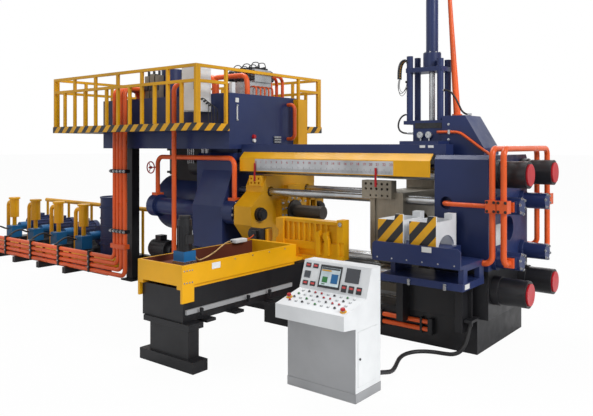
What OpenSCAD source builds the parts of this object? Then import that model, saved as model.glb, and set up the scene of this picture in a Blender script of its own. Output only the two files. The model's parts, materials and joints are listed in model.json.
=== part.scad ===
// Horizontal aluminum extrusion press with its hydraulic power unit, billet loader,
// die table, hot shear and operator console. Millimetres, +X from the pump end to the
// die end along the extrusion axis, +Y away from the operator, +Z up. The origin is on
// the floor under the middle of the press base.

/* [Base] */
// Length of the welded base frame
base_len = 6000; // [5800:10:6200]
// Width of the welded base frame
base_w = 1450; // [1400:10:1500]
// Height of the base frame
base_h = 390; // [370:1:410]
// Distance between the two guide ways
way_gauge = 500; // [480:1:510]
// Width of a guide way
way_w = 180; // [150:1:190]
// Height of a guide way
way_h = 80; // [60:1:100]

/* [Press frame] */
// Height of the extrusion axis above the floor
axis_z = 1385; // [1375:1:1395]
// Tie rod spacing across the press
rod_gauge_y = 900; // [890:1:910]
// Tie rod spacing in height
rod_gauge_z = 1350; // [1340:1:1380]
// Tie rod diameter
rod_d = 200; // [160:1:205]
// Width of both platens
platen_w = 1300; // [1290:1:1310]
// Height of the platen tops above the floor
platen_top = 2280; // [2260:1:2300]
// Container side face of the front platen
front_platen_x = 2430; // [2420:1:2450]
// Thickness of the front platen
front_platen_t = 670; // [600:1:700]
// Crosshead side face of the rear platen
rear_platen_x = -950; // [-960:1:-945]
// Thickness of the rear platen
rear_platen_t = 800; // [750:1:850]
// Tie rod nut diameter
nut_d = 310; // [290:1:315]
// Length of a front tie rod nut
nut_len = 400; // [350:1:450]
// Length of a rear tie rod nut
rear_nut_len = 260; // [220:1:300]

/* [Main and side cylinders] */
// Main cylinder outside diameter
cyl_d = 980; // [960:5:1000]
// Length of the main cylinder behind the rear platen
cyl_len = 1250; // [1230:5:1300]
// Main ram diameter
ram_d = 700; // [640:5:710]
// Spacing of the two side cylinders
side_gauge = 1440; // [1430:1:1450]
// Side cylinder outside diameter
side_d = 270; // [250:1:275]
// Side cylinder flange diameter
side_flange_d = 370; // [350:1:380]
// Rear end of the side cylinders
side_rear_x = -2720; // [-2760:5:-2700]
// Side cylinder rod diameter
side_rod_d = 120; // [90:1:130]

/* [Crosshead and stem] */
// Front face of the crosshead with the ram drawn back
head_x = -350; // [-360:1:-340]
// Thickness of the crosshead
head_t = 340; // [320:1:360]
// Extrusion stem diameter
stem_d = 190; // [150:1:194]
// Reach of the stem in front of the crosshead
stem_len = 650; // [600:1:660]

/* [Container] */
// Rear face of the container with it drawn open
cont_x = 1490; // [1480:1:1500]
// Length of the container
cont_len = 470; // [440:1:475]
// Container bore diameter
bore_d = 212; // [208:1:230]
// Diameter of the container shift rods
shift_rod_d = 110; // [80:1:120]
// Spacing of the container shift rods
shift_gauge = 900; // [880:1:920]
// Height of the container shift rods
shift_z = 1700; // [1690:1:1710]

/* [Covers and top beams] */
// Front end of the tie rod cover
cover_x1 = 2370; // [2300:5:2400]
// Rear end of the tie rod cover
cover_x0 = -800; // [-830:5:-780]
// Height of the upright face of the cover
cover_h = 200; // [180:1:220]
// Height of the top beams
beam_h = 130; // [110:1:150]
// Width of a top beam
beam_w = 220; // [200:1:240]

/* [Hot shear] */
// Position of the shear cylinder along the press
shear_x = 2075; // [2070:1:2080]
// Shear cylinder diameter
shear_d = 160; // [140:1:180]
// Top of the shear cylinder
shear_top = 4550; // [4450:10:4700]
// Height of the shear posts above the shear block
shear_post_h = 860; // [820:1:900]

/* [Oil tank and platform] */
// Length of the oil tank
tank_len = 3180; // [3150:10:3250]
// Width of the oil tank
tank_w = 1660; // [1600:10:1700]
// Height of the underside of the oil tank
tank_z = 2340; // [2320:1:2360]
// Height of the oil tank
tank_h = 850; // [820:1:900]
// Front end of the oil tank
tank_x1 = -850; // [-860:1:-845]
// Height of the walkway underside
deck_z = 2620; // [2600:1:2650]
// Width of the walkways
walk_w = 670; // [620:5:700]
// Height of the handrail above the walkway
rail_h = 910; // [880:5:1000]
// Side of a square handrail post
post_w = 45; // [35:1:50]

/* [Pump bank] */
// Position of the pump nearest the press
pump_x = -5540; // [-5600:5:-5500]
// Distance between pumps
pump_pitch = 920; // [900:5:950]
// Number of pumps
pump_count = 4; // [2:1:5]
// Diameter of the suction manifold
manifold_d = 220; // [200:1:240]
// Diameter of a filter body
filter_d = 195; // [180:1:205]

/* [Pipes] */
// Diameter of the pressure pipes
pipe_d = 75; // [60:1:80]
// Spacing of the pressure risers
riser_pitch = 95; // [90:1:110]
// Diameter of the platen pipes
platen_pipe_d = 68; // [60:1:75]

/* [Billet loader] */
// Inner side of the loader carriage
loader_x0 = 46; // [40:1:60]
// Width of the loader carriage
loader_w = 744; // [720:1:760]
// Operator end of the loader carriage
loader_y0 = -3200; // [-3220:5:-3180]
// Length of the carriage frame
loader_len = 1930; // [1900:5:1950]
// Height of the carriage top
loader_top = 1120; // [1110:1:1125]
// Height of the carriage frame
loader_h = 220; // [200:1:225]

/* [Die table] */
// Height of the die table top
table_z = 1110; // [1100:1:1120]
// Length of the die table
table_len = 1090; // [1070:5:1095]
// Width of a die cassette
cassette_w = 330; // [320:1:335]
// Distance between the two cassettes
cassette_pitch = 410; // [400:1:420]
// Height of a die cassette
cassette_h = 300; // [280:1:320]

/* [Console] */
// Width of the console
console_w = 810; // [780:5:840]
// Height of the console
console_h = 1215; // [1200:5:1250]
// Depth of the console cabinet
console_depth = 442; // [430:1:450]

/* [Hidden] */
$fn = 48;

// Colours as seen on the machine
navy = [0.16, 0.21, 0.36];
yellow = [0.90, 0.69, 0.10];
orange = [0.92, 0.38, 0.16];
black = [0.13, 0.13, 0.14];
grey = [0.66, 0.66, 0.64];
silver = [0.76, 0.77, 0.78];
white = [0.92, 0.93, 0.94];
blue = [0.14, 0.43, 0.65];
red = [0.75, 0.14, 0.17];

// Gap left at every sliding or round seat
seat = 0.3;

// Press frame
rod_y = rod_gauge_y / 2;
rod_low_z = axis_z - rod_gauge_z / 2;
rod_high_z = axis_z + rod_gauge_z / 2;
platen_y = platen_w / 2;
front_platen_x1 = front_platen_x + front_platen_t;
rear_platen_x0 = rear_platen_x - rear_platen_t;
rod_x0 = rear_platen_x0 - rear_nut_len;
rod_x1 = front_platen_x1 + nut_len;
platen_bevel = 50;
cap_d = 250;
cap_t = 20;

// Guide ways
way_y = way_gauge / 2;
way_top = base_h + way_h;
way_x0 = rear_platen_x + 10;
way_x1 = front_platen_x - 10;

// Side cylinders and their housings on the rear platen
side_y = side_gauge / 2;
side_flange_t = 160;
gland_x1 = rear_platen_x + 210;
bulge_y = 880;
bulge_inset = 150;
bulge_low_z = 700;
bulge_high_z = 1470;
bulge_top_z = 2010;

// Crosshead
head_rear_x = head_x - head_t;
head_low_z = rod_low_z + rod_d / 2 + 20;
head_high_z = rod_high_z - rod_d / 2 - 20;
head_arm_y = 890;
clamp_y = 660;
clamp_z = 1790;
clamp_depth = 130;
stem_root_d = stem_d + 150;
stem_clamp_t = 90;

// Container
cont_x1 = cont_x + cont_len;
cont_y = 600;
clamp_x0 = cont_x - 90;
clamp_x1 = clamp_x0 + 440;
guide_reach = 320;
guide_play = 20;
cont_flange_t = 70;
die_gap = 305;
die_holder_x0 = cont_x1 + die_gap;

// Top beams and covers
beam_y1 = 560;
beam_y0 = beam_y1 - beam_w;
beam_x0 = tank_x1 + 5;
beam_x1 = front_platen_x + 100;
beam_z1 = platen_top + beam_h;
cover_y = 650;
cover_t = 8;
cover_z0 = rod_high_z - 55;
cover_z1 = cover_z0 + cover_h;
cover_rise = 90;
lip_x = -700;

// Shear
shear_plate_t = 40;
shear_block_z0 = beam_z1 + shear_plate_t;
shear_block_z1 = shear_block_z0 + 270;
shear_block_x0 = shear_x - 175;
shear_block_x1 = shear_x + 255;
shear_collar_z = shear_block_z1 + 640;
slide_rest_z = 2000;

// Tank and platform
tank_x0 = tank_x1 - tank_len;
tank_y = tank_w / 2;
tank_top = tank_z + tank_h;
deck_t = 40;
deck_top = deck_z + deck_t;
deck_y = tank_y + walk_w;
deck_x0 = tank_x0 - 520;
rail_z = deck_top + rail_h;
mid_rail_z = rail_z - 220;
column_w = 160;
column_x = -base_len / 2 - 465;
column_y = 606;
duct_y1 = 955;

// Pipe runs
riser_y = -1000;
riser_x = -3450;
riser_top = tank_top + 180;
bend_ratio = 1.6;
drop_y = -760;
drop_left_x = front_platen_x1 + 90;
drop_right_x = front_platen_x1 + 220;
boss_y = -575;
shift_low_z = 1070;

// Pump bank
pump_y = -250;
motor_y = 120;
manifold_y = -600;
skid_h = 114;
skid_x0 = pump_x - (pump_count - 1) * pump_pitch - 500;
skid_x1 = -4100;
manifold_z = skid_h + seat + manifold_d / 2;
manifold_x0 = skid_x0 + 150;
manifold_x1 = -3950;

// Loader
loader_x1 = loader_x0 + loader_w;
loader_y1 = loader_y0 + loader_len;
loader_z0 = loader_top - loader_h;
bed_z0 = 500;
bed_z1 = loader_z0 - 40;
bed_x0 = loader_x0 + 34;
bed_x1 = loader_x1 - 34;
bed_y0 = loader_y0 + 40;
bed_y1 = -base_w / 2;
trough_y = -1060;
trough_x0 = 340;
gusset_x0 = trough_x0 - 190;

// Die table
table_x0 = 1990;
table_x1 = table_x0 + table_len;
table_y0 = -1340;
table_y1 = -max(base_w / 2, platen_y + 75);
table_t = 40;
shuttle_t = 130;

// Console
console_x0 = 1866;
console_x1 = console_x0 + console_w;
console_front_y = -2757;
console_back_y = console_front_y + console_depth;
desk_reach = 193;

// Console cable, its route from the console back to the gland on the base
cable_d = 45;
cable_sides = 8;
gland_len = 70;
cable_route = [
    [2580, -2315, 120], [2580, -2240, 120], [2579, -2150, 104], [2574, -2040, 76],
    [2560, -1930, 48], [2532, -1820, 30], [2492, -1700, 26], [2446, -1580, 26],
    [2404, -1460, 26], [2380, -1340, 26], [2388, -1225, 26], [2432, -1125, 26],
    [2510, -1050, 26], [2610, -1005, 26], [2715, -985, 26], [2810, -970, 34],
    [2880, -942, 66], [2922, -908, 128], [2942, -876, 205], [2950, -850, 280], [2955, -831, 345]
];
gland_axis = unit(cable_route[20] - cable_route[19]);

// A box between two limits on each axis
module box(x, y, z) {
    translate([x[0], y[0], z[0]])
        cube([x[1] - x[0], y[1] - y[0], z[1] - z[0]]);
}

// A round bar along one axis
module bar_x(x, y, z, d) {
    translate([x[0], y, z])
        rotate([0, 90, 0])
            cylinder(d = d, h = x[1] - x[0]);
}

module bar_y(x, y, z, d) {
    translate([x, y[1], z])
        rotate([90, 0, 0])
            cylinder(d = d, h = y[1] - y[0]);
}

module bar_z(x, y, z, d) {
    translate([x, y, z[0]])
        cylinder(d = d, h = z[1] - z[0]);
}

// The same shape on the operator side and on the far side
module both_sides() {
    children();
    mirror([0, 1, 0])
        children();
}

// A flat outline in the YZ plane, drawn along X
module profile_x(x) {
    translate([x[0], 0, 0])
        rotate([90, 0, 90])
            linear_extrude(x[1] - x[0])
                children();
}

// A flat outline in the XZ plane, drawn along Y
module profile_y(y) {
    translate([0, y[1], 0])
        rotate([90, 0, 0])
            linear_extrude(y[1] - y[0])
                children();
}

// A round pipe along a line of corners, each corner an elbow
function unit(v) = v / norm(v);
function turn(a, b) = acos(max(-1, min(1, a * b)));
function setback(p, i, r) =
    i == 0 || i == len(p) - 1 ? 0 : r * tan(turn(unit(p[i] - p[i - 1]), unit(p[i + 1] - p[i])) / 2);

module pipe_leg(a, b, d) {
    way = unit(b - a);
    spin = atan2(way[1], way[0]);
    tilt = acos(way[2]);
    translate(a)
        rotate([0, tilt, spin])
            cylinder(d = d, h = norm(b - a));
}

module pipe_elbow(p, i, d, r) {
    a = unit(p[i] - p[i - 1]);
    b = unit(p[i + 1] - p[i]);
    n = unit(b - (a * b) * a);
    c = p[i] - setback(p, i, r) * a + r * n;
    z = cross(a, n);
    multmatrix([
        [-n[0], a[0], z[0], c[0]],
        [-n[1], a[1], z[1], c[1]],
        [-n[2], a[2], z[2], c[2]],
        [0, 0, 0, 1]
    ])
        rotate_extrude(angle = turn(a, b))
            translate([r, 0])
                circle(d = d);
}

module pipe(p, d, r) {
    for (i = [0 : len(p) - 2]) {
        way = unit(p[i + 1] - p[i]);
        pipe_leg(p[i] + setback(p, i, r) * way, p[i + 1] - setback(p, i + 1, r) * way, d);
    }
    for (i = [1 : 1 : len(p) - 2])
        pipe_elbow(p, i, d, r);
}

// A row of round holes bored into a side face along Y
module side_holes(xs, zs, y, d) {
    for (x = xs, z = zs)
        bar_y(x, y, z, d);
}

// Base, guide ways and the guide rods of crosshead and container

module base_frame() {
    gland = cable_route[len(cable_route) - 1];
    bracket_x = [min(gland[0], base_len / 2) - 45, gland[0] + 45];
    bracket_t = 30;
    color(black) {
        box([-base_len / 2, base_len / 2], [-base_w / 2, base_w / 2], [0, base_h]);
        translate(gland)
            rotate([0, acos(gland_axis[2]), atan2(gland_axis[1], gland_axis[0])])
                cylinder(d = cable_d + 20, h = gland_len);
        box(bracket_x, [gland[1] - 54, -base_w / 2 + 65], [base_h - 1, base_h + bracket_t]);
    }
}

module guide_ways() {
    color(silver)
        both_sides() {
            box([way_x0, way_x1], [-way_y - way_w / 2, -way_y + way_w / 2], [base_h, way_top]);
            bar_x([rear_platen_x0 + 300, cont_x + guide_reach], -shift_gauge / 2, shift_z, shift_rod_d);
        }
}

// Platens, tie rods and nuts

module platen_outline() {
    polygon([
        [-platen_y, base_h], [-platen_y, platen_top - platen_bevel], [-platen_y + platen_bevel, platen_top],
        [platen_y - platen_bevel, platen_top], [platen_y, platen_top - platen_bevel], [platen_y, base_h]
    ]);
}

module tie_rod_holes(x) {
    for (y = [-rod_y, rod_y], z = [rod_low_z, rod_high_z])
        bar_x(x, y, z, rod_d + 2 * seat);
}

module rear_platen() {
    through = [rear_platen_x0 - 1, rear_platen_x + 1];
    color(navy)
        difference() {
            union() {
                profile_x([rear_platen_x0, rear_platen_x])
                    platen_outline();
                both_sides()
                    profile_x([rear_platen_x0 + bulge_inset, rear_platen_x])
                        polygon([
                            [-platen_y + 1, bulge_low_z], [-bulge_y, bulge_low_z + 120],
                            [-bulge_y, bulge_high_z], [-platen_y + 1, bulge_top_z]
                        ]);
                both_sides()
                    box([rear_platen_x0 + 40, rear_platen_x - 40], [-500, -300], [platen_top - 1, tank_z]);
                both_sides()
                    box([rear_platen_x - 1, lip_x], [-beam_y1 + 10, -beam_y0 - 10], [platen_top - 110, platen_top]);
            }
            bar_x(through, 0, axis_z, ram_d + 40);
            tie_rod_holes(through);
            both_sides() {
                bar_x(through, -side_y, axis_z, side_d + 2 * seat);
                bar_x(through, -shift_gauge / 2, shift_z, shift_rod_d + 2 * seat);
            }
        }
}

module front_platen() {
    exit_d = 300;
    port_x = front_platen_x + 150;
    color(navy)
        difference() {
            profile_x([front_platen_x, front_platen_x1])
                platen_outline();
            bar_x([front_platen_x - 1, front_platen_x1 + 1], 0, axis_z, exit_d);
            tie_rod_holes([front_platen_x - 1, front_platen_x1 + 1]);
            both_sides() {
                bar_y(port_x, [-platen_y - 1, -platen_y + 90], 1710, 150);
                bar_x([front_platen_x - 1, front_platen_x + 400], -shift_gauge / 2, shift_z,
                    shift_rod_d + 2 * seat);
            }
        }
}

module tie_rods() {
    color(silver)
        for (y = [-rod_y, rod_y], z = [rod_low_z, rod_high_z])
            bar_x([rod_x0, rod_x1], y, z, rod_d);
}

module rod_nuts() {
    collar_d = nut_d + 30;
    collar_len = 90;
    color(black)
        for (y = [-rod_y, rod_y], z = [rod_low_z, rod_high_z]) {
            difference() {
                union() {
                    bar_x([front_platen_x1, rod_x1], y, z, nut_d);
                    bar_x([front_platen_x1, front_platen_x1 + collar_len], y, z, collar_d);
                }
                bar_x([front_platen_x1 - 1, rod_x1 + 1], y, z, rod_d + 2 * seat);
            }
            difference() {
                bar_x([rod_x0, rear_platen_x0], y, z, nut_d);
                bar_x([rod_x0 - 1, rear_platen_x0 + 1], y, z, rod_d + 2 * seat);
            }
        }
}

module nut_caps() {
    color(red)
        for (y = [-rod_y, rod_y], z = [rod_low_z, rod_high_z])
            bar_x([rod_x1, rod_x1 + cap_t], y, z, cap_d);
}

module die_holder() {
    color(grey)
        difference() {
            bar_x([die_holder_x0, front_platen_x], 0, axis_z, 620);
            bar_x([die_holder_x0 - 1, front_platen_x + 1], 0, axis_z, 180);
        }
}

// Hydraulic cylinders behind the rear platen

module main_cylinder() {
    flange_t = 90;
    end_t = 80;
    x0 = rear_platen_x0 - cyl_len;
    color(navy)
        difference() {
            union() {
                bar_x([x0, rear_platen_x0], 0, axis_z, cyl_d);
                bar_x([rear_platen_x0 - flange_t, rear_platen_x0], 0, axis_z, cyl_d + 50);
                bar_x([x0 - 60, x0 + 1], 0, axis_z, cyl_d - 200);
            }
            bar_x([x0 + end_t, rear_platen_x0 + 1], 0, axis_z, ram_d + 60);
        }
}

module prefill_valve() {
    x0 = rear_platen_x0 - 900;
    x1 = rear_platen_x0 - 110;
    half_w = 280;
    color(black)
        difference() {
            box([x0, x1], [-half_w, half_w], [axis_z, tank_z]);
            bar_x([x0 - 1, x1 + 1], 0, axis_z, cyl_d + 2 * seat);
        }
}

module side_cylinders() {
    color(navy)
        both_sides()
            difference() {
                union() {
                    bar_x([side_rear_x, gland_x1], -side_y, axis_z, side_d);
                    bar_x([side_rear_x, side_rear_x + side_flange_t], -side_y, axis_z, side_flange_d);
                    bar_x([rear_platen_x, gland_x1], -side_y, axis_z, side_flange_d);
                    bar_x([side_rear_x - 90, side_rear_x + 1], -side_y, axis_z, side_d - 60);
                }
                bar_x([side_rear_x + 60, gland_x1 + 1], -side_y, axis_z, side_rod_d + 2 * seat);
            }
}

module handwheel() {
    color(red)
        translate([side_rear_x + side_flange_t / 2, -side_y - 150, axis_z + 640])
            rotate([90, 0, 0]) {
                rotate_extrude()
                    translate([95, 0])
                        circle(d = 20);
                difference() {
                    union() {
                        translate([0, 0, -16])
                            cylinder(d = 44, h = 32);
                        for (a = [0 : 120 : 240])
                            rotate([0, 90, a])
                                cylinder(d = 13, h = 95);
                    }
                    translate([0, 0, -30])
                        cylinder(d = 20 + 2 * seat, h = 60);
                }
            }
}

// Covers and beams over the tie rods

module rod_covers() {
    slope_y = beam_y1;
    color(yellow)
        both_sides()
            profile_x([cover_x0, cover_x1])
                polygon([
                    [-cover_y, cover_z0], [-cover_y, cover_z1], [-slope_y, cover_z1 + cover_rise],
                    [-slope_y, cover_z1 + cover_rise - 12], [-cover_y + cover_t, cover_z1 - 4],
                    [-cover_y + cover_t, cover_z0]
                ]);
}

module scale_plate() {
    color(silver)
        box([-490, 1860], [-cover_y - 2, -cover_y], [cover_z0 + 12, cover_z1 - 12]);
}

module top_beams() {
    color(navy)
        both_sides()
            box([beam_x0, beam_x1], [-beam_y1, -beam_y0], [platen_top, beam_z1]);
}

// Hot shear over the die face

module shear_frame() {
    slot_x = [shear_x - 110, shear_x + 75];
    post_d = 85;
    left_x = shear_x - 270;
    right_x = shear_x + 170;
    color(navy)
        difference() {
            union() {
                box([shear_block_x0, front_platen_x], [-beam_y1, beam_y1], [beam_z1, shear_block_z0]);
                box([shear_block_x0, shear_block_x1], [-200, 200], [shear_block_z0 - 1, shear_block_z1]);
                box([left_x - 45, shear_block_x1], [-200, 200], [shear_block_z1 - 50, shear_block_z1]);
                for (y = [-110, 110]) {
                    bar_z(left_x, y, [shear_block_z1 - 1, shear_block_z1 + shear_post_h], post_d);
                    bar_z(right_x, y, [shear_block_z1 - 1, shear_block_z1 + shear_post_h - 60], post_d);
                }
                box([left_x - 40, right_x + 40], [-150, 150], [shear_collar_z, shear_collar_z + 60]);
            }
            box(slot_x, [-160, 160], [beam_z1 - 1, shear_block_z1 + 1]);
            bar_z(shear_x, 0, [shear_collar_z - 1, shear_collar_z + 61], 80 + 2 * seat);
        }
}

module shear_cylinder() {
    z0 = shear_collar_z + 60;
    color(navy)
        difference() {
            union() {
                bar_z(shear_x, 0, [z0, shear_top], shear_d);
                bar_z(shear_x, 0, [z0, z0 + 190], shear_d + 75);
                bar_z(shear_x, 0, [shear_top - 60, shear_top], shear_d + 30);
            }
            bar_z(shear_x, 0, [z0 - 1, shear_top - 120], 80 + 2 * seat);
        }
}

module shear_housing() {
    x0 = shear_block_x1;
    half_w = 240;
    shoulder_x = x0 + 307;
    toe_x = front_platen_x + 450;
    color(navy)
        profile_y([-half_w, half_w])
            polygon([
                [x0, shear_block_z0], [x0, shear_block_z1 + 50], [shoulder_x, shear_block_z1 + 50],
                [toe_x, platen_top + 85], [toe_x, platen_top],
                [front_platen_x, platen_top], [front_platen_x, shear_block_z0]
            ]);
}

module shear_slide() {
    rod_top = shear_top - 200;
    color(silver) {
        box([shear_x - 65, shear_x + 65], [-150, 150], [slide_rest_z + 40, shear_block_z0 + 120]);
        box([shear_x - 100, shear_x - 64], [-150, 150], [slide_rest_z, slide_rest_z + 160]);
        bar_z(shear_x, 0, [shear_block_z0 + 119, rod_top], 80);
    }
}

module boom_pole() {
    foot = [shear_block_x1 + 70, 60, shear_block_z1 + 50];
    lean = 3.9;
    color(orange) {
        translate(foot)
            cylinder(d = 130, h = 30);
        translate(foot + [0, 0, 8])
            rotate([0, -lean, 0])
                cylinder(d1 = 90, d2 = 50, h = shear_top - foot[2] - 20);
    }
}

// Die table on the operator side of the front platen

module die_table() {
    guard_z0 = table_z - 40;
    tray_z = [table_z - 280, table_z - 200];
    end_t = 60;
    color(navy) {
        box([table_x0, table_x1], [table_y0, table_y1 - 10], [table_z - table_t, table_z]);
        profile_y([table_y0 - 20, table_y0])
            polygon([
                [table_x0, guard_z0], [table_x0, table_z + 150], [table_x0 + 30, table_z + 180],
                [table_x1 - 30, table_z + 180], [table_x1, table_z + 150], [table_x1, guard_z0]
            ]);
        box([table_x0 + 60, table_x1], [table_y0 + 40, table_y1], tray_z);
        difference() {
            box([table_x1 - end_t, table_x1], [table_y0 + 60, table_y1 - 10], [tray_z[1] - 1, table_z - 1]);
            box([table_x1 - end_t - 1, table_x1 + 1], [table_y0 + 160, table_y1 - 130], [tray_z[1], table_z - 70]);
        }
        box([table_x0 + 120, table_x0 + 180], [table_y0 + 200, table_y1 - 10], [tray_z[1] - 1, table_z - table_t + 1]);
        for (x = [table_x0 + 60, table_x1 - 270])
            box([x, x + 90], [table_y1 - 180, -base_w / 2], [base_h - 120, base_h]);
        for (x = [table_x0 + 60, table_x1 - 270])
            box([x, x + 90], [table_y1 - 180, table_y1], [base_h - 1, tray_z[0] + 1]);
    }
}

module cassette(x) {
    y0 = table_y0 + 60;
    depth = 520;
    plate_t = 25;
    tab_h = 70;
    tab_w = cassette_w * 0.3;
    z0 = table_z + seat + shuttle_t;
    top = z0 + cassette_h;
    x1 = x + cassette_w;
    profile_y([y0, y0 + plate_t])
        polygon([[x, z0], [x, top], [x1 - tab_w - 15, top], [x1 - tab_w, top + tab_h], [x1, top + tab_h], [x1, z0]]);
    box([x, x1], [y0 + depth - plate_t, y0 + depth], [z0, top]);
    box([x1 - tab_w, x1], [y0 + depth - 110, y0 + depth], [top - 1, top + tab_h]);
    for (side_x = [x, x1 - plate_t])
        difference() {
            box([side_x, side_x + plate_t], [y0 + 1, y0 + depth - 1], [z0, top]);
            translate([side_x - 1, y0 + depth / 2, z0])
                scale([1, 1, 0.7])
                    bar_x([0, plate_t + 2], 0, 0, depth - 120);
        }
}

module die_shuttle() {
    y0 = table_y0 + 40;
    color(white) {
        box([table_x0 + 5, table_x0 + 2 * cassette_pitch], [y0, y0 + 560],
            [table_z + seat, table_z + seat + shuttle_t]);
        for (i = [0, 1])
            cassette(table_x0 + 30 + i * cassette_pitch);
    }
}

// Oil tank, platform and handrails

module oil_tank() {
    wall = 12;
    color(navy)
        difference() {
            box([tank_x0, tank_x1], [-tank_y, tank_y], [tank_z, tank_top]);
            box([tank_x0 + wall, tank_x1 - wall], [-tank_y + wall, tank_y - wall], [tank_z + wall, tank_top - wall]);
        }
}

module platform_deck() {
    slot_x0 = riser_x - 100;
    color(black)
        difference() {
            union() {
                both_sides()
                    box([deck_x0, tank_x1], [-deck_y, -tank_y], [deck_z, deck_top]);
                box([deck_x0, tank_x0], [-tank_y - 1, tank_y + 1], [deck_z, deck_top]);
            }
            box([slot_x0, slot_x0 + 620], [riser_y - 60, riser_y + 60], [deck_z - 1, deck_top + 1]);
            box([-1960, -1840], [riser_y - 60, riser_y + 60], [deck_z - 1, deck_top + 1]);
        }
}

module toe_boards() {
    t = 10;
    z = [deck_z - 10, deck_z + 100];
    color(yellow) {
        both_sides()
            box([deck_x0 - t, tank_x1 + t], [-deck_y - t, -deck_y], z);
        box([tank_x1, tank_x1 + t], [-deck_y - 1, -tank_y], z);
        box([tank_x1, tank_x1 + t], [duct_y1 + 1, deck_y + 1], z);
        box([deck_x0 - t, deck_x0], [-deck_y - 1, deck_y + 1], z);
    }
}

module rail_post(x, y, z1) {
    box([x - post_w / 2, x + post_w / 2], [y - post_w / 2, y + post_w / 2], [deck_top, z1]);
}

module long_handrail() {
    y = -deck_y + post_w / 2;
    bays = 6;
    x0 = deck_x0 + post_w / 2;
    x1 = tank_x1 - post_w / 2;
    pitch = (x1 - x0) / bays;
    for (i = [0 : bays])
        rail_post(x0 + i * pitch, y, rail_z);
    for (i = [0 : bays - 1])
        rail_post(x0 + (i + 0.5) * pitch, y, mid_rail_z + 1);
    for (z = [rail_z, mid_rail_z])
        box([x0 - post_w / 2, x1 + post_w / 2], [y - post_w / 2, y + post_w / 2], [z - post_w, z]);
}

module handrail_near() {
    color(yellow)
        long_handrail();
}

module handrail_far() {
    color(yellow)
        mirror([0, 1, 0])
            long_handrail();
}

module cross_handrail(x, y0, y1, bays) {
    pitch = (y1 - y0) / bays;
    for (i = [0 : bays])
        rail_post(x, y0 + i * pitch, rail_z);
    for (z = [rail_z, mid_rail_z])
        box([x - post_w / 2, x + post_w / 2], [y0 - post_w / 2, y1 + post_w / 2], [z - post_w, z]);
}

module handrail_ends() {
    inset = 1.5 * post_w + 1;
    front_x = tank_x1 - post_w / 2;
    color(yellow) {
        cross_handrail(deck_x0 + post_w / 2, -deck_y + inset, deck_y - inset, 5);
        both_sides()
            cross_handrail(front_x, -deck_y + inset, -tank_y - post_w, 1);
        box([front_x - post_w / 2, front_x + post_w / 2], [-tank_y - post_w, tank_y + post_w], [rail_z - post_w, rail_z]);
    }
}

module tank_columns() {
    foot_w = 300;
    foot_t = 25;
    color(black)
        both_sides() {
            box([column_x - column_w / 2, column_x + column_w / 2],
                [-column_y - column_w / 2, -column_y + column_w / 2], [0, tank_z]);
            box([column_x - foot_w / 2, column_x + foot_w / 2],
                [-column_y - foot_w / 2, -column_y + foot_w / 2], [0, foot_t]);
        }
}

module control_box() {
    color(white)
        box([-1600, -1240], [-tank_y - 270, -tank_y], [2910, 3620]);
}

module cable_duct() {
    color(yellow)
        box([tank_x1, tank_x1 + 110], [710, duct_y1], [tank_z + 60, tank_top - 20]);
}

module valve_manifold() {
    color(silver) {
        box([-1500, -950], [-250, 250], [tank_top, tank_top + 220]);
        for (x = [-1440 : 150 : -990])
            box([x, x + 90], [-200, 200], [tank_top + 219, tank_top + 420]);
    }
}

module tank_cooler() {
    color(navy) {
        bar_z(-2740, -300, [tank_top, tank_top + 520], 400);
        box([-3400, -2980], [-420, -180], [tank_top, tank_top + 60]);
        bar_x([-3400, -2980], -300, tank_top + 60 + 150, 300);
    }
}

module tank_pipes() {
    z = tank_top + 300;
    r = 110;
    color(orange) {
        pipe([[-2200, -420, tank_top], [-2200, -420, z], [-1560, -420, z], [-1560, -420, tank_top]], 120, 1.2 * r);
        for (i = [0 : 3])
            pipe([[-1420 + 130 * i, 330, tank_top], [-1420 + 130 * i, 330, z + 60],
                [-1420 + 130 * i, 640, z + 60], [-1420 + 130 * i, 640, tank_top]], 55, r);
        pipe([[tank_x1, 560, tank_top - 120], [tank_x1 + 150, 560, tank_top - 120],
            [tank_x1 + 150, 560, tank_z + 160], [tank_x1, 560, tank_z + 160]], 60, 90);
    }
}

// Pressure pipes

module riser(i) {
    x = riser_x + i * riser_pitch;
    z = skid_h + seat + pipe_d / 2 + (3 - i) * riser_pitch;
    r = pipe_d * bend_ratio;
    pipe([[manifold_x0 + 60, riser_y, z], [x, riser_y, z], [x, riser_y, riser_top],
        [x, riser_y + 500, riser_top], [x, riser_y + 500, tank_top]], pipe_d, r);
}

module riser_pipes() {
    x = -1900;
    color(orange) {
        for (i = [0 : 3])
            riser(i);
        pipe([[x, -base_w / 2, 300], [x, riser_y, 300], [x, riser_y, riser_top],
            [x, riser_y + 500, riser_top], [x, riser_y + 500, tank_top]], pipe_d, pipe_d * bend_ratio);
    }
}

module side_cylinder_pipes() {
    z = 2200;
    x0 = side_rear_x + side_flange_t / 2;
    x1 = rear_platen_x + 105;
    foot = axis_z + side_flange_d / 2 + 30;
    color(orange)
        both_sides() {
            pipe([[x0, -side_y, foot], [x0, -side_y, z], [x1, -side_y, z], [x1, -side_y, foot]],
                pipe_d, pipe_d * bend_ratio);
            for (x = [x0, x1])
                difference() {
                    box([x - 70, x + 70], [-side_y - 70, -side_y + 70], [axis_z + 100, foot + 1]);
                    bar_x([x - 71, x + 71], -side_y, axis_z, side_flange_d + 2 * seat);
                }
            bar_y(x0, [-side_y - 190, -side_y], axis_z + 640, 20);
        }
}

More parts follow.
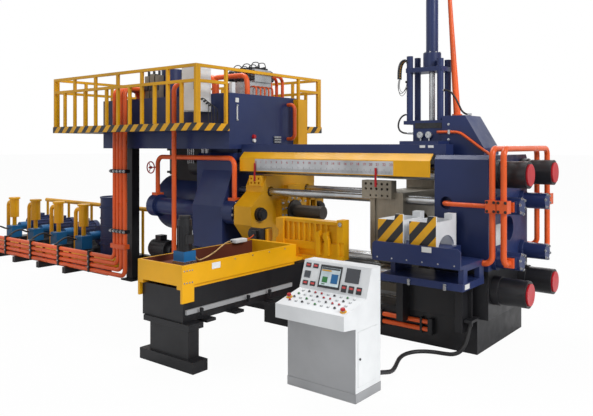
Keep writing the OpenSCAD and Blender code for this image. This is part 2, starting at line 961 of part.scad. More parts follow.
module platen_pipes() {
    r = 90;
    top_z = platen_top + 78;
    port_x = 2950;
    block = [1640, 1780];
    color(orange) {
        pipe([[table_x1, drop_y, table_z - 45], [drop_left_x, drop_y, table_z - 45],
            [drop_left_x, drop_y, block[0] - seat]], platen_pipe_d, r);
        pipe([[port_x, platen_y, 1100], [port_x, -drop_y, 1100], [drop_left_x, -drop_y, 1100],
            [drop_left_x, -drop_y, block[0] - seat]], platen_pipe_d, r);
        for (x = [drop_left_x, drop_right_x])
            pipe([[x, drop_y, block[1] + seat], [x, drop_y, top_z], [x, -drop_y, top_z],
                [x, -drop_y, block[1] + seat]], platen_pipe_d, r);
        both_sides() {
            pipe([[drop_right_x, boss_y, shift_low_z], [drop_right_x, drop_y, shift_low_z],
                [drop_right_x, drop_y, block[0] - seat]], platen_pipe_d, r);
            pipe([[drop_left_x, drop_y, shift_z + 10], [front_platen_x + 150, drop_y, shift_z + 10],
                [front_platen_x + 150, -platen_y + 90, shift_z + 10]], platen_pipe_d - 16, r);
            pipe_leg([drop_right_x, drop_y, shift_z], [drop_right_x, boss_y, shift_z], platen_pipe_d);
            for (x = [drop_left_x, drop_right_x])
                box([x - 60, x + 60], [drop_y - 60, drop_y + 60], block);
            box([drop_right_x - 55, drop_right_x + 55], [boss_y - 40, boss_y], [shift_low_z - 55, shift_low_z + 55]);
            box([drop_right_x - 55, drop_right_x + 55], [boss_y - 40, boss_y], [shift_z - 55, shift_z + 55]);
        }
        for (z = [190, 280])
            bar_x([1000, 2040], -base_w / 2 - 28, z, 56);
    }
}

// Container shift cylinders on the end face of the front platen

module shift_cylinders() {
    x1 = front_platen_x1 + 320;
    color(navy)
        both_sides()
            for (z = [shift_low_z, shift_z]) {
                bar_x([front_platen_x1, x1], -shift_gauge / 2, z, 200);
                bar_x([front_platen_x1, front_platen_x1 + 45], -shift_gauge / 2, z, 250);
                box([drop_right_x - 65, drop_right_x + 65], [boss_y, -shift_gauge / 2], [z - 65, z + 65]);
            }
}

module auxiliary_pump() {
    x0 = -base_len / 2 + 100;
    y = -base_w / 2 + 135;
    z = base_h + 240;
    motor_d = 300;
    color(black) {
        box([x0, x0 + 550], [y - 110, y + 110], [base_h, base_h + 60]);
        for (x = [x0 + 60, x0 + 320])
            box([x, x + 60], [y - 120, y + 120], [base_h + 59, z]);
        bar_x([x0 + 20, x0 + 420], y, z, motor_d);
        for (a = [0 : 30 : 330])
            translate([x0 + 60, y, z])
                rotate([a, 0, 0])
                    box([0, 320], [-6, 6], [motor_d / 2 - 10, motor_d / 2 + 14]);
        box([x0 + 120, x0 + 260], [y - 70, y + 70], [z + motor_d / 2 - 20, z + motor_d / 2 + 80]);
        bar_x([x0 + 419, x0 + 530], y, z, 200);
    }
}

// Pump bank

module pump_skid() {
    rail_w = 100;
    color(black) {
        for (y = [-700, -150, 700])
            box([skid_x0, skid_x1], [y, y + rail_w], [0, skid_h]);
        for (i = [0 : pump_count])
            box([skid_x0 + 150 + i * pump_pitch, skid_x0 + 250 + i * pump_pitch], [-1080, 800], [0, skid_h]);
        for (i = [0 : pump_count - 1])
            box([pump_x - i * pump_pitch - 150, pump_x - i * pump_pitch + 150], [-450, 690], [skid_h - 1, 300]);
        for (i = [1 : pump_count])
            box([skid_x0 + 180 + i * pump_pitch, skid_x0 + 220 + i * pump_pitch],
                [riser_y + pipe_d / 2 + seat, riser_y + pipe_d / 2 + 30], [skid_h - 1, 480]);
    }
}

module pump_motors() {
    motor_d = 400;
    z = 300 + 40 + 190;
    color(navy)
        for (i = [0 : pump_count - 1]) {
            x = pump_x - i * pump_pitch;
            box([x - 130, x + 130], [motor_y + 40, motor_y + 480], [300, 360]);
            bar_y(x, [motor_y, motor_y + 540], z, motor_d - 40);
            bar_y(x, [motor_y, motor_y + 60], z, motor_d);
            bar_y(x, [motor_y + 440, motor_y + 540], z, motor_d);
            for (a = [20 : 20 : 340])
                translate([x, motor_y, z])
                    rotate([0, 180 + a, 0])
                        box([-5, 5], [59, 441], [motor_d / 2 - 30, motor_d / 2 - 2]);
            box([x - 80, x + 80], [motor_y + 170, motor_y + 330], [z + motor_d / 2 - 30, z + motor_d / 2 + 60]);
        }
}

module pumps() {
    color(blue)
        for (i = [0 : pump_count - 1]) {
            x = pump_x - i * pump_pitch;
            box([x - 120, x + 120], [pump_y - 120, pump_y + 120], [300, 560]);
            bar_y(x, [pump_y + 119, motor_y], 530, 180);
        }
}

module suction_filters() {
    z = 560;
    r = 100;
    color(yellow)
        for (i = [0 : pump_count - 1]) {
            x = pump_x - i * pump_pitch;
            bar_z(x, pump_y, [z, z + 190], 90);
            bar_z(x, pump_y, [z + 189, z + 640], filter_d);
            bar_z(x, pump_y, [z + 600, z + 640], filter_d + 50);
            pipe([[x, pump_y, z + 530], [x - 280, pump_y, z + 530], [x - 280, pump_y, skid_h + 120]], 80, r);
            box([x - 350, x - 210], [pump_y - 70, pump_y + 200], [skid_h, skid_h + 121]);
        }
}

module suction_manifold() {
    header_y = 750;
    header_z = 1060;
    header_x1 = manifold_x1 - 750;
    leg_d = 60;
    color(yellow) {
        bar_x([manifold_x0, manifold_x1], manifold_y, manifold_z, manifold_d);
        bar_x([manifold_x1 - 1, manifold_x1 + 30], manifold_y, manifold_z, manifold_d - 40);
        for (x = [manifold_x0 : pump_pitch : manifold_x1])
            bar_x([x, x + 30], manifold_y, manifold_z, manifold_d);
        bar_x([manifold_x0, header_x1], header_y, header_z, 90);
        for (i = [0 : pump_count])
            bar_z(skid_x0 + 200 + i * pump_pitch, header_y, [skid_h, header_z], leg_d);
    }
}

module oil_drum() {
    color(navy)
        difference() {
            union() {
                bar_z(-4960, 100, [skid_h, skid_h + 1250], 580);
                for (z = [0, 405, 810, 1220])
                    bar_z(-4960, 100, [skid_h + z, skid_h + z + 30], 604);
            }
            bar_z(-4960, 100, [skid_h + 1230, skid_h + 1260], 560);
        }
}

// Operator console and its cable

module console() {
    color(white)
        profile_x([console_x0, console_x1])
            polygon([
                [console_front_y, 0], [console_front_y, 690], [console_front_y - desk_reach, 712],
                [console_front_y - desk_reach, 850], [console_front_y + 187, 940],
                [console_front_y + 283, console_h], [console_back_y, console_h], [console_back_y, 0]
            ]);
}

function route_way(p, i) = unit(p[min(i + 1, len(p) - 1)] - p[max(i - 1, 0)]);
function ring_side(way) = unit(cross(way, abs(way[2]) > 0.9 ? [1, 0, 0] : [0, 0, 1]));
function cable_ring(p, i) =
    let (way = route_way(p, i), side = ring_side(way), up = cross(side, way))
    [for (k = [0 : cable_sides - 1])
        p[i] + cable_d / 2 * (cos(k * 360 / cable_sides) * side + sin(k * 360 / cable_sides) * up)];

module console_cable() {
    n = len(cable_route);
    rings = [for (i = [0 : n - 1]) each cable_ring(cable_route, i)];
    walls = [for (i = [0 : n - 2], k = [0 : cable_sides - 1])
        let (a = i * cable_sides, b = a + cable_sides, m = (k + 1) % cable_sides)
        [a + k, a + m, b + m, b + k]];
    first = [for (k = [cable_sides - 1 : -1 : 0]) k];
    last = [for (k = [0 : cable_sides - 1]) (n - 1) * cable_sides + k];
    color(black)
        polyhedron(rings, concat([first], walls, [last]));
}

// Billet loader

module loader_bed() {
    rail_z = 610;
    color(black) {
        box([bed_x0, bed_x1], [bed_y0, bed_y1], [bed_z0, bed_z1]);
        for (y = [-2900, -2450, -1900])
            box([bed_x0 - 90, bed_x1 + 90], [y, y + 140], [bed_z0 - 30, bed_z0 + 1]);
    }
    color(silver)
        box([bed_x1 - 1, bed_x1 + 24], [bed_y0 + 30, -1340], [rail_z - 25, rail_z + 25]);
}

module loader_pedestals() {
    color(black) {
        box([55, 934], [-3180, -2970], [0, 120]);
        box([200, 830], [-3150, -3000], [119, bed_z0 - 59]);
        box([120, 870], [-3180, -2970], [bed_z0 - 60, bed_z0]);
        box([180, 600], [-1200, -base_w / 2], [0, bed_z0]);
    }
}

module loader_carriage() {
    wall = 60;
    leg_z0 = 718;
    z = [loader_z0, loader_top];
    color(yellow) {
        box([loader_x0, loader_x1], [loader_y0, loader_y0 + wall / 2], z);
        for (x = [loader_x0, loader_x1 - wall / 2])
            box([x, x + wall / 2], [loader_y0, loader_y1], z);
        for (x = [loader_x0, loader_x1 - wall / 2])
            box([x, x + wall / 2], [loader_y0, loader_y0 + 170], [leg_z0, loader_top]);
        box([loader_x0, loader_x1], [loader_y1 - wall, loader_y1], z);
        for (x = [loader_x0 + wall / 2 - 1, loader_x1 - wall / 2 - 60 + 1])
            box([x, x + 60], [loader_y0 + 1, loader_y1 - 1], [bed_z1 + seat, loader_z0 + 20]);
        box([loader_x0 + 1, loader_x1 - 1], [loader_y0 + 1, loader_y0 + 500], [loader_top - 90, loader_top - 70]);
    }
}

module loader_trough() {
    y = [trough_y - 60, trough_y];
    x0 = trough_x0;
    x1 = 1440;
    rib_x1 = x1 - 80;
    deck_z = 1385;
    color(yellow) {
        box([x0, rib_x1], [y[0], y[1] + 100], [deck_z, deck_z + 40]);
        box([x0, rib_x1], [y[0] + 30, y[1]], [1091, deck_z + 1]);
        for (x = [x0 + 90 : 90 : x1 - 250])
            box([x, x + 25], [y[0], y[1]], [1149, deck_z + 1]);
        box([x0, rib_x1], y, [1090, 1150]);
        profile_y([y[0] - 25, y[0] + 1])
            polygon([
                [x0 + 130, deck_z + 40], [x0, deck_z + 40], [x0, 1300], [x0 + 50, 1260],
                [x0 + 40, 1190], [x0, 1150], [x0, 1040], [x0 + 130, 1040]
            ]);
        box([gusset_x0, gusset_x0 + 30], [y[0] - 25, y[1] + 30], [loader_z0, 1250]);
        difference() {
            box([x1 - 90, x1], [y[0] - 40, y[1] + 40], [960, 1460]);
            bar_y(x1 - 45, [y[0] - 41, y[0] - 20], 1405, 60);
            box([x1 - 60, x1 + 1], [y[0] - 41, y[0] - 10], [1010, 1180]);
        }
        box([gusset_x0, x0 + 440], [loader_y1, y[1]], [loader_z0, loader_z0 + 40]);
        difference() {
            box([x0, rib_x1], y, [loader_z0, 1091]);
            box([x0 + 360, x0 + 660], [y[0] - 1, y[0] + 40], [loader_z0 + 70, 1050]);
        }
        for (x = [x0 + 700, x0 + 830])
            profile_y([y[0] - 60, y[0] + 1])
                polygon([[x, 1000], [x, 1180], [x - 30, 1230], [x - 10, 1290], [x + 50, 1310], [x + 40, 1250],
                    [x + 60, 1200], [x + 60, 1000]]);
    }
}

module loader_drive() {
    x = 490;
    y = -2900;
    z = loader_top - 70;
    motor_d = 160;
    servo_y = trough_y - 30;
    color(black) {
        box([x - 95, x + 95], [y - 95, y + 95], [z, z + 60]);
        box([x - 88, x + 88], [y - 88, y + 88], [z + 59, z + 170]);
        bar_z(x, y, [z + 169, z + 520], motor_d);
        for (a = [0 : 30 : 330])
            translate([x, y, z + 200])
                rotate([0, 0, a])
                    box([motor_d / 2 - 8, motor_d / 2 + 8], [-4, 4], [0, 250]);
        bar_z(x, y, [z + 519, z + 560], motor_d - 30);
        bar_x([gusset_x0 - 300, gusset_x0], servo_y, 1165, 160);
        box([gusset_x0 - 60, gusset_x0], [servo_y - 90, servo_y + 90], [1070, 1255]);
        box([gusset_x0 - 220, gusset_x0 - 120], [servo_y - 110, servo_y], [1110, 1220]);
    }
}

// Crosshead, ram, side rods and stem

module crosshead_outline() {
    polygon([
        [-560, head_low_z], [-head_arm_y, 1230], [-head_arm_y, 1500], [-clamp_y + 30, 1700], [-clamp_y + 30, clamp_z],
        [-540, head_high_z], [540, head_high_z], [clamp_y - 30, clamp_z], [clamp_y - 30, 1700],
        [head_arm_y, 1500], [head_arm_y, 1230], [560, head_low_z]
    ]);
}

module crosshead() {
    x = [head_rear_x, head_x];
    color(yellow)
        difference() {
            union() {
                profile_x(x)
                    crosshead_outline();
                both_sides() {
                    box(x, [-way_y - way_w / 2, -way_y + way_w / 2], [way_top + seat, head_low_z + 1]);
                    box([head_x - 250, head_x - 20], [-clamp_y, -clamp_y + clamp_depth], [clamp_z, clamp_z + 155]);
                    box([head_x - 1, head_x + stem_clamp_t], [-310, -210], [axis_z - 190, axis_z + 190]);
                }
                bar_x([head_x - 1, head_x + stem_clamp_t], 0, axis_z, stem_root_d + 140);
                box([head_x - 1, head_x + stem_clamp_t], [-150, 150], [axis_z + 180, axis_z + 400]);
            }
            bar_x([head_x, head_x + stem_clamp_t + 1], 0, axis_z, stem_root_d + 2 * seat);
            both_sides() {
                bar_x([x[0] - 1, x[1] + 1], -side_y, axis_z, side_rod_d + 2 * seat);
                bar_x([x[0] - 1, x[1] + 1], -shift_gauge / 2, shift_z, shift_rod_d + 2 * guide_play);
                side_holes([head_x - 210, head_x - 135, head_x - 60], [clamp_z + 45, clamp_z + 110],
                    [-clamp_y - 1, -clamp_y + 60], 34);
            }
        }
}

module main_ram() {
    color(silver)
        bar_x([rear_platen_x0 - cyl_len + 100, head_rear_x], 0, axis_z, ram_d);
}

module side_rods() {
    color(silver)
        both_sides() {
            bar_x([side_rear_x + 175, head_x + 110], -side_y, axis_z, side_rod_d);
            bar_x([head_x, head_x + 100], -side_y, axis_z, side_rod_d + 40);
        }
}

module stem() {
    color(grey) {
        bar_x([head_x, head_x + 120], 0, axis_z, stem_root_d);
        bar_x([head_x, head_x + stem_len], 0, axis_z, stem_d);
        bar_x([head_x + stem_len - 50, head_x + stem_len], 0, axis_z, stem_d + 8);
    }
}

module pointer(x, top) {
    color(red)
        box([x - 14, x + 14], [-clamp_y - 8, -clamp_y], [clamp_z + 70, top]);
}

module crosshead_pointer() {
    pointer(head_x - 135, 2130);
}

// Container and its shift rods

module container_outline(half) {
    polygon([
        [-half + 190, head_low_z], [-half + 95, head_low_z + 45], [-half + 35, head_low_z + 120],
        [-half, head_low_z + 230], [-half, clamp_z + 1], [half, clamp_z + 1], [half, head_low_z + 230],
        [half - 35, head_low_z + 120], [half - 95, head_low_z + 45], [half - 190, head_low_z]
    ]);
}

module container() {
    x = [cont_x, cont_x1];
    lip_z = clamp_z - 75;
    color(grey)
        difference() {
            union() {
                profile_x(x)
                    container_outline(cont_y - 25);
                profile_x([cont_x, cont_x + cont_flange_t])
                    container_outline(cont_y);
                both_sides() {
                    box([clamp_x0, clamp_x1], [-clamp_y, -clamp_y + clamp_depth], [clamp_z, clamp_z + 155]);
                    box([clamp_x0, cont_x + 1], [-clamp_y, -clamp_y + clamp_depth], [lip_z, clamp_z + 1]);
                    box([cont_x, clamp_x1], [-clamp_y, -cont_y + 26], [lip_z, clamp_z + 1]);
                    box(x, [-way_y - way_w / 2, -way_y + way_w / 2], [way_top + seat, head_low_z + 1]);
                }
            }
            bar_x([x[0] - 1, x[1] + 1], 0, axis_z, bore_d);
            both_sides() {
                bar_x([x[0] - 1, cont_x + guide_reach + 20], -shift_gauge / 2, shift_z, shift_rod_d + 2 * guide_play);
                side_holes([for (i = [0 : 4]) clamp_x0 + 60 + i * 80], [clamp_z + 45, clamp_z + 110],
                    [-clamp_y - 1, -clamp_y + 60], 34);
                side_holes([for (i = [0 : 3]) cont_x + 40 + i * 85], [lip_z + 36], [-clamp_y - 1, -clamp_y + 40], 28);
            }
        }
}

module shift_rods() {
    color(silver)
        both_sides()
            bar_x([cont_x1, front_platen_x + 40], -shift_gauge / 2, shift_z, shift_rod_d);
}

module container_pointer() {
    pointer(clamp_x0 + 210, 2105);
}

base_frame();
guide_ways();
rear_platen();
main_cylinder();
prefill_valve();
side_cylinders();
tie_rods();
rod_nuts();
nut_caps();
front_platen();
die_holder();
rod_covers();
scale_plate();
top_beams();
shear_frame();
shear_cylinder();
shear_housing();
boom_pole();
die_table();
oil_tank();
platform_deck();
toe_boards();
handrail_near();
handrail_far();
handrail_ends();
tank_columns();
control_box();
cable_duct();
valve_manifold();
tank_cooler();
tank_pipes();
riser_pipes();
side_cylinder_pipes();
platen_pipes();
shift_cylinders();
auxiliary_pump();
pump_skid();
pump_motors();
pumps();
suction_filters();
suction_manifold();
oil_drum();
console();
console_cable();
loader_bed();
loader_pedestals();
crosshead();
main_ram();
side_rods();
stem();
crosshead_pointer();
container();
shift_rods();
container_pointer();
shear_slide();
loader_carriage();
loader_trough();
loader_drive();
die_shuttle();
handwheel();
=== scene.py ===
"""Looks of the aluminum extrusion press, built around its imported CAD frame."""
import json
import math

import bmesh
import bpy
from mathutils import Matrix, Vector


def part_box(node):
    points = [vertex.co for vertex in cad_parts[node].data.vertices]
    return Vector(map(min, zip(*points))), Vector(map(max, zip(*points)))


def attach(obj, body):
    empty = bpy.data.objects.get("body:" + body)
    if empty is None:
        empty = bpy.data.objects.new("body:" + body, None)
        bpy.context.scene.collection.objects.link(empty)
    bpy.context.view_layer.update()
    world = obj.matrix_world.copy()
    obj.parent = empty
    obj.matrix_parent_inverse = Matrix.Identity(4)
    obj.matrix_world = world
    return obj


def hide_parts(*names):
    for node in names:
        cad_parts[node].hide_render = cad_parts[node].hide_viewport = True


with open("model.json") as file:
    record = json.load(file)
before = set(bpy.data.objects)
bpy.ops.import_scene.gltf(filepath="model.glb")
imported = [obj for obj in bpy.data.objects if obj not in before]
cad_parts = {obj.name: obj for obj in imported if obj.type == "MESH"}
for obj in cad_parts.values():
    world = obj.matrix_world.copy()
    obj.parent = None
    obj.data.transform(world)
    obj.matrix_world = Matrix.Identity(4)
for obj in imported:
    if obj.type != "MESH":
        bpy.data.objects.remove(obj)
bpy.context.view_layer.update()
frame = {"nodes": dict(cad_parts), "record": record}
nodes = frame["nodes"]
bpy.context.scene.view_settings.view_transform = "Standard"

FRAME_BODY = "press_frame"
HEAD_BODY = "crosshead_body"
LOADER_BODY = "loader_body"
CAD_SHARP_ANGLE = math.radians(32)


def placed(name, data):
    """A new object in the scene."""
    piece = bpy.data.objects.new(name, data)
    bpy.context.scene.collection.objects.link(piece)
    return piece


# Materials

def linear(rgb):
    """An sRGB colour of 0 to 255 as the linear colour that a shader takes."""
    parts = [c / 255 for c in rgb]
    return tuple(c / 12.92 if c <= 0.04045 else ((c + 0.055) / 1.055) ** 2.4 for c in parts) + (1.0,)


class Shader:
    """A material with one principled shader, and short calls for the nodes around it."""

    def __init__(self, name):
        self.material = bpy.data.materials.new(name)
        self.material.use_nodes = True
        self.tree = self.material.node_tree
        self.base = self.tree.nodes["Principled BSDF"]
        self.place = self.node("TexCoord").outputs["Object"]

    def node(self, kind):
        return self.tree.nodes.new("ShaderNode" + kind)

    def link(self, source, target):
        self.tree.links.new(source, target)

    def put(self, field, value):
        self.base.inputs[field].default_value = value

    def noise(self, scale, detail=4.0, stretch=(1, 1, 1)):
        mapping = self.node("Mapping")
        mapping.inputs["Scale"].default_value = stretch
        self.link(self.place, mapping.inputs["Vector"])
        texture = self.node("TexNoise")
        texture.inputs["Scale"].default_value = scale
        texture.inputs["Detail"].default_value = detail
        self.link(mapping.outputs["Vector"], texture.inputs["Vector"])
        return texture.outputs["Fac"]

    def spread(self, source, low, high, floor=0.3, ceiling=0.7):
        node = self.node("MapRange")
        for field, value in (("From Min", floor), ("From Max", ceiling), ("To Min", low), ("To Max", high)):
            node.inputs[field].default_value = value
        self.link(source, node.inputs["Value"])
        return node.outputs["Result"]

    def math(self, operation, first, second):
        node = self.node("Math")
        node.operation = operation
        for socket, value in zip(node.inputs, (first, second)):
            if isinstance(value, (int, float)):
                socket.default_value = value
            else:
                self.link(value, socket)
        return node.outputs["Value"]

    def mix(self, share, first, second):
        node = self.node("Mix")
        node.data_type = "RGBA"
        self.link(share, node.inputs["Factor"])
        for index, value in ((6, first), (7, second)):
            if isinstance(value, tuple):
                node.inputs[index].default_value = value
            else:
                self.link(value, node.inputs[index])
        return node.outputs[2]

    def axis(self, index):
        node = self.node("SeparateXYZ")
        self.link(self.place, node.inputs["Vector"])
        return node.outputs[index]

    def rounded(self, radius):
        """A normal that turns smoothly around each edge."""
        bevel = self.node("Bevel")
        bevel.samples = 4
        bevel.inputs["Radius"].default_value = radius
        return bevel.outputs["Normal"]

    def edge_wear(self, rounded, low, high):
        """How far the rounded normal leaves the flat one: high only along edges."""
        geometry = self.node("NewGeometry")
        dot = self.node("VectorMath")
        dot.operation = "DOT_PRODUCT"
        self.link(rounded, dot.inputs[0])
        self.link(geometry.outputs["Normal"], dot.inputs[1])
        return self.spread(dot.outputs["Value"], 1.0, 0.0, low, high)

    def bump(self, height, strength, distance, normal=None):
        node = self.node("Bump")
        node.inputs["Strength"].default_value = strength
        node.inputs["Distance"].default_value = distance
        self.link(height, node.inputs["Height"])
        if normal is not None:
            self.link(normal, node.inputs["Normal"])
        self.link(node.outputs["Normal"], self.base.inputs["Normal"])


def shade(rgb, factor):
    """A colour made darker or lighter."""
    return tuple(min(255, c * factor) for c in rgb)


def paint(name, rgb, rough=0.34, worn=(150, 150, 148), wear=0.5, coat=0.08, below=None, split=0.0):
    """Enamel on steel: cloudy tone, orange peel and bare metal along worn edges.

    Where a colour below is given, it covers what lies under the height of the split.
    """
    s = Shader(name)
    tone = s.mix(s.spread(s.noise(0.9, 6), 0, 1), linear(shade(rgb, 0.86)), linear(shade(rgb, 1.07)))
    if below:
        tone = s.mix(s.math("LESS_THAN", s.axis(2), split), tone, linear(below))
    normal = s.rounded(0.006)
    edge = s.edge_wear(normal, 0.55, 0.97)
    chips = s.math("MULTIPLY", edge, s.spread(s.noise(19, 5), 0, wear, 0.48, 0.62))
    s.link(s.mix(chips, tone, linear(worn)), s.base.inputs["Base Color"])
    s.link(s.spread(s.noise(6, 5), rough - 0.07, rough + 0.12), s.base.inputs["Roughness"])
    s.bump(s.noise(150, 2), 0.05, 0.002, normal)
    s.put("Specular IOR Level", 0.3)
    s.put("Coat Weight", coat)
    s.put("Coat Roughness", 0.12)
    return s.material


def metal(name, rgb, rough=0.28, stretch=(1, 1, 1), grain=0.1):
    """Bare machined steel with fine tool marks and faint oil stains."""
    s = Shader(name)
    tone = s.mix(s.spread(s.noise(2.2, 6), 0, 1), linear(shade(rgb, 0.8)), linear(shade(rgb, 1.06)))
    s.link(tone, s.base.inputs["Base Color"])
    s.put("Metallic", 0.9)
    marks = s.noise(60, 4, stretch)
    s.link(s.spread(marks, rough - 0.08, rough + 0.14), s.base.inputs["Roughness"])
    s.bump(marks, grain, 0.001, s.rounded(0.003))
    return s.material


def rubber(name, rgb):
    """Dull rubber or plastic with a fine skin."""
    s = Shader(name)
    s.link(s.mix(s.spread(s.noise(9, 5), 0, 1), linear(shade(rgb, 0.8)), linear(shade(rgb, 1.3))),
           s.base.inputs["Base Color"])
    s.link(s.spread(s.noise(40, 4), 0.45, 0.7), s.base.inputs["Roughness"])
    s.bump(s.noise(300, 2), 0.12, 0.001)
    return s.material


def stripes(name, first, second, way, period):
    """Enamel with slanting warning stripes; way says how far each axis moves the stripe."""
    s = Shader(name)
    reach = s.math("MULTIPLY", s.axis(0), way[0] / period)
    for index in (1, 2):
        reach = s.math("ADD", reach, s.math("MULTIPLY", s.axis(index), way[index] / period))
    band = s.math("GREATER_THAN", s.math("FRACT", reach, 0), 0.5)
    cloud = s.spread(s.noise(3, 5), 0, 1)
    light = s.mix(cloud, linear(shade(first, 0.9)), linear(shade(first, 1.05)))
    dark = s.mix(cloud, linear(shade(second, 0.8)), linear(shade(second, 1.3)))
    s.link(s.mix(band, light, dark), s.base.inputs["Base Color"])
    s.link(s.spread(s.noise(6, 5), 0.32, 0.5), s.base.inputs["Roughness"])
    s.bump(s.noise(150, 2), 0.05, 0.002, s.rounded(0.004))
    return s.material


def screen_glass(name, rgb, glow):
    """A dark display behind glass with a faint even glow."""
    s = Shader(name)
    tone = s.mix(s.spread(s.noise(4, 3), 0, 1), linear(shade(rgb, 0.8)), linear(shade(rgb, 1.1)))
    s.link(tone, s.base.inputs["Base Color"])
    s.link(tone, s.base.inputs["Emission Color"])
    s.put("Emission Strength", glow)
    s.put("Roughness", 0.08)
    s.put("Coat Weight", 0.6)
    return s.material


NAVY = (38, 51, 96)
YELLOW = (238, 174, 20)
ORANGE = (236, 98, 42)
BLACK = (29, 29, 32)
STEEL = (188, 190, 192)
TOOL_STEEL = (142, 135, 122)
WHITE = (236, 238, 241)
BLUE = (36, 110, 168)
RED = (188, 24, 36)

PLATEN_SPLIT_Z = 0.95
navy_paint = paint("navy_enamel", NAVY, 0.36)
platen_paint = paint("platen_enamel", NAVY, 0.36, below=BLACK, split=PLATEN_SPLIT_Z)
yellow_paint = paint("yellow_enamel", YELLOW, 0.36, (120, 96, 50))
orange_paint = paint("orange_enamel", ORANGE, 0.3, (110, 60, 40))
black_paint = paint("black_enamel", BLACK, 0.42, (96, 96, 96))
white_paint = paint("white_powder_coat", WHITE, 0.4, (120, 122, 124), 0.35, 0.1)
blue_paint = paint("blue_enamel", BLUE, 0.33)
red_paint = paint("red_enamel", RED, 0.32, (120, 60, 60))
steel = metal("ground_steel", STEEL, 0.26, (0.05, 1, 1))
tool_steel = metal("machined_tool_steel", TOOL_STEEL, 0.46, (1, 1, 0.2), 0.2)
aluminium = metal("satin_aluminium", (198, 200, 203), 0.42, (0.04, 1, 1))
heat_steel = metal("heat_stained_steel", (86, 82, 78), 0.48, (1, 1, 0.2), 0.2)
cable_rubber = rubber("cable_rubber", (26, 26, 28))
tan_rubber = rubber("tan_cable", (186, 152, 100))
plastic = rubber("black_plastic", (32, 32, 35))
toe_stripes = stripes("toe_board_stripes", YELLOW, BLACK, (1, 1, -1), 0.24)
cassette_stripes = stripes("cassette_stripes", YELLOW, BLACK, (1, 0, -0.9), 0.215)
kick_steel = paint("grey_kick_plate", (164, 165, 167), 0.45, (120, 122, 124), 0.35, 0.1)
oxide_primer = paint("oxide_primer", (104, 52, 38), 0.5, (90, 80, 76), 0.3, 0.0)
dial_face = paint("dial_face", (232, 233, 230), 0.3, (150, 150, 150), 0.0, 0.6)
display = screen_glass("display", (206, 222, 226), 0.12)
display_dark = screen_glass("display_dark", (34, 40, 52), 0.0)
red_digits = screen_glass("red_digits", (190, 40, 40), 0.25)
green_paint = paint("green_caps", (52, 132, 66), 0.3)

SLOT_MATERIALS = {
    "navy_paint": navy_paint,
    "yellow_paint": yellow_paint,
    "orange_paint": orange_paint,
    "black_paint": black_paint,
    "machined_steel": steel,
    "tool_steel": tool_steel,
    "scale_aluminium": aluminium,
    "white_paint": white_paint,
    "blue_paint": blue_paint,
    "red_paint": red_paint,
    "cable_rubber": cable_rubber,
}

for subpart in frame["record"]["subparts"]:
    mesh = nodes[subpart["node"]].data
    mesh.materials.clear()
    mesh.materials.append(SLOT_MATERIALS[subpart["material_slot"]])
    for face in mesh.polygons:
        face.use_smooth = True
    mesh.set_sharp_from_angle(angle=CAD_SHARP_ANGLE)


def repaint(node, material, test):
    """Gives the faces of a CAD node that pass the test another finish."""
    piece = nodes[node]
    piece.data.materials.append(material)
    index = len(piece.data.materials) - 1
    for face in piece.data.polygons:
        if test(piece.matrix_world @ face.center, face.normal):
            face.material_index = index


CASSETTE_PLATE_T = 0.06
CASSETTE_FOOT_Z = 1.2405
STRIPE_LOW_Z = 1.25
GEARBOX_END_Y = -2.5
GEARBOX_Z = (1.11, 1.22)
BED_INSET = 0.035
RAIL_Z = (0.58, 0.64)
RAIL_END_Y = -3.14
TRAY_WALL_X = (0.1, 0.7)
TRAY_Z = (0.9, 1.06)
DIE_TRAY_Z = 0.83
ROD_END_X = -0.36
KICK_PLATE_Z = 0.7

# How far a face has to look along an axis
STRAIGHT = 0.9
SLOPING = 0.5

cassette_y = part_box("die_shuttle")[0][1] + CASSETTE_PLATE_T
rail_face_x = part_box("loader_carriage")[1][0] - BED_INSET


def everywhere(place, normal):
    return True


def cassette_front(place, normal):
    return place.y < cassette_y and normal.y < -SLOPING and place.z > STRIPE_LOW_Z


def motor_foot(place, normal):
    return place.y < GEARBOX_END_Y and place.z < GEARBOX_Z[0]


def gearbox(place, normal):
    return place.y < GEARBOX_END_Y and GEARBOX_Z[0] < place.z < GEARBOX_Z[1]


def bed_rail(place, normal):
    return place.x > rail_face_x and RAIL_Z[0] < place.z < RAIL_Z[1] and place.y > RAIL_END_Y


def tray_inside(place, normal):
    """The inner side walls and the floor of the loader's carriage."""
    low_wall = place.x < TRAY_WALL_X[0] and normal.x > STRAIGHT
    high_wall = place.x > TRAY_WALL_X[1] and normal.x < -STRAIGHT
    floor = normal.z > STRAIGHT and place.z < TRAY_Z[1]
    return place.z > TRAY_Z[0] and (low_wall or high_wall or floor)


repaint("toe_boards", toe_stripes, everywhere)
repaint("die_shuttle", cassette_stripes, cassette_front)
repaint("die_shuttle", navy_paint, lambda place, normal: place.z < CASSETTE_FOOT_Z)
repaint("loader_drive", steel, motor_foot)
repaint("loader_drive", blue_paint, gearbox)
repaint("loader_bed", kick_steel, bed_rail)
repaint("loader_carriage", oxide_primer, tray_inside)
repaint("die_table", black_paint, lambda place, normal: place.z < DIE_TRAY_Z)
repaint("stem", heat_steel, everywhere)
repaint("side_rods", black_paint, lambda place, normal: place.x > ROD_END_X)
repaint("front_platen", platen_paint, everywhere)
repaint("console", kick_steel, lambda place, normal: normal.y < -STRAIGHT and place.z < KICK_PLATE_Z)


# Camera at the photograph's place

IMAGE_WIDTH = 593
IMAGE_HEIGHT = 416
FOCAL_PIXELS = 640
HORIZON_ROW = 145
CAMERA_PLACE = (5.935, -7.732, 2.4)
CAMERA_TURN = math.radians(38.5)

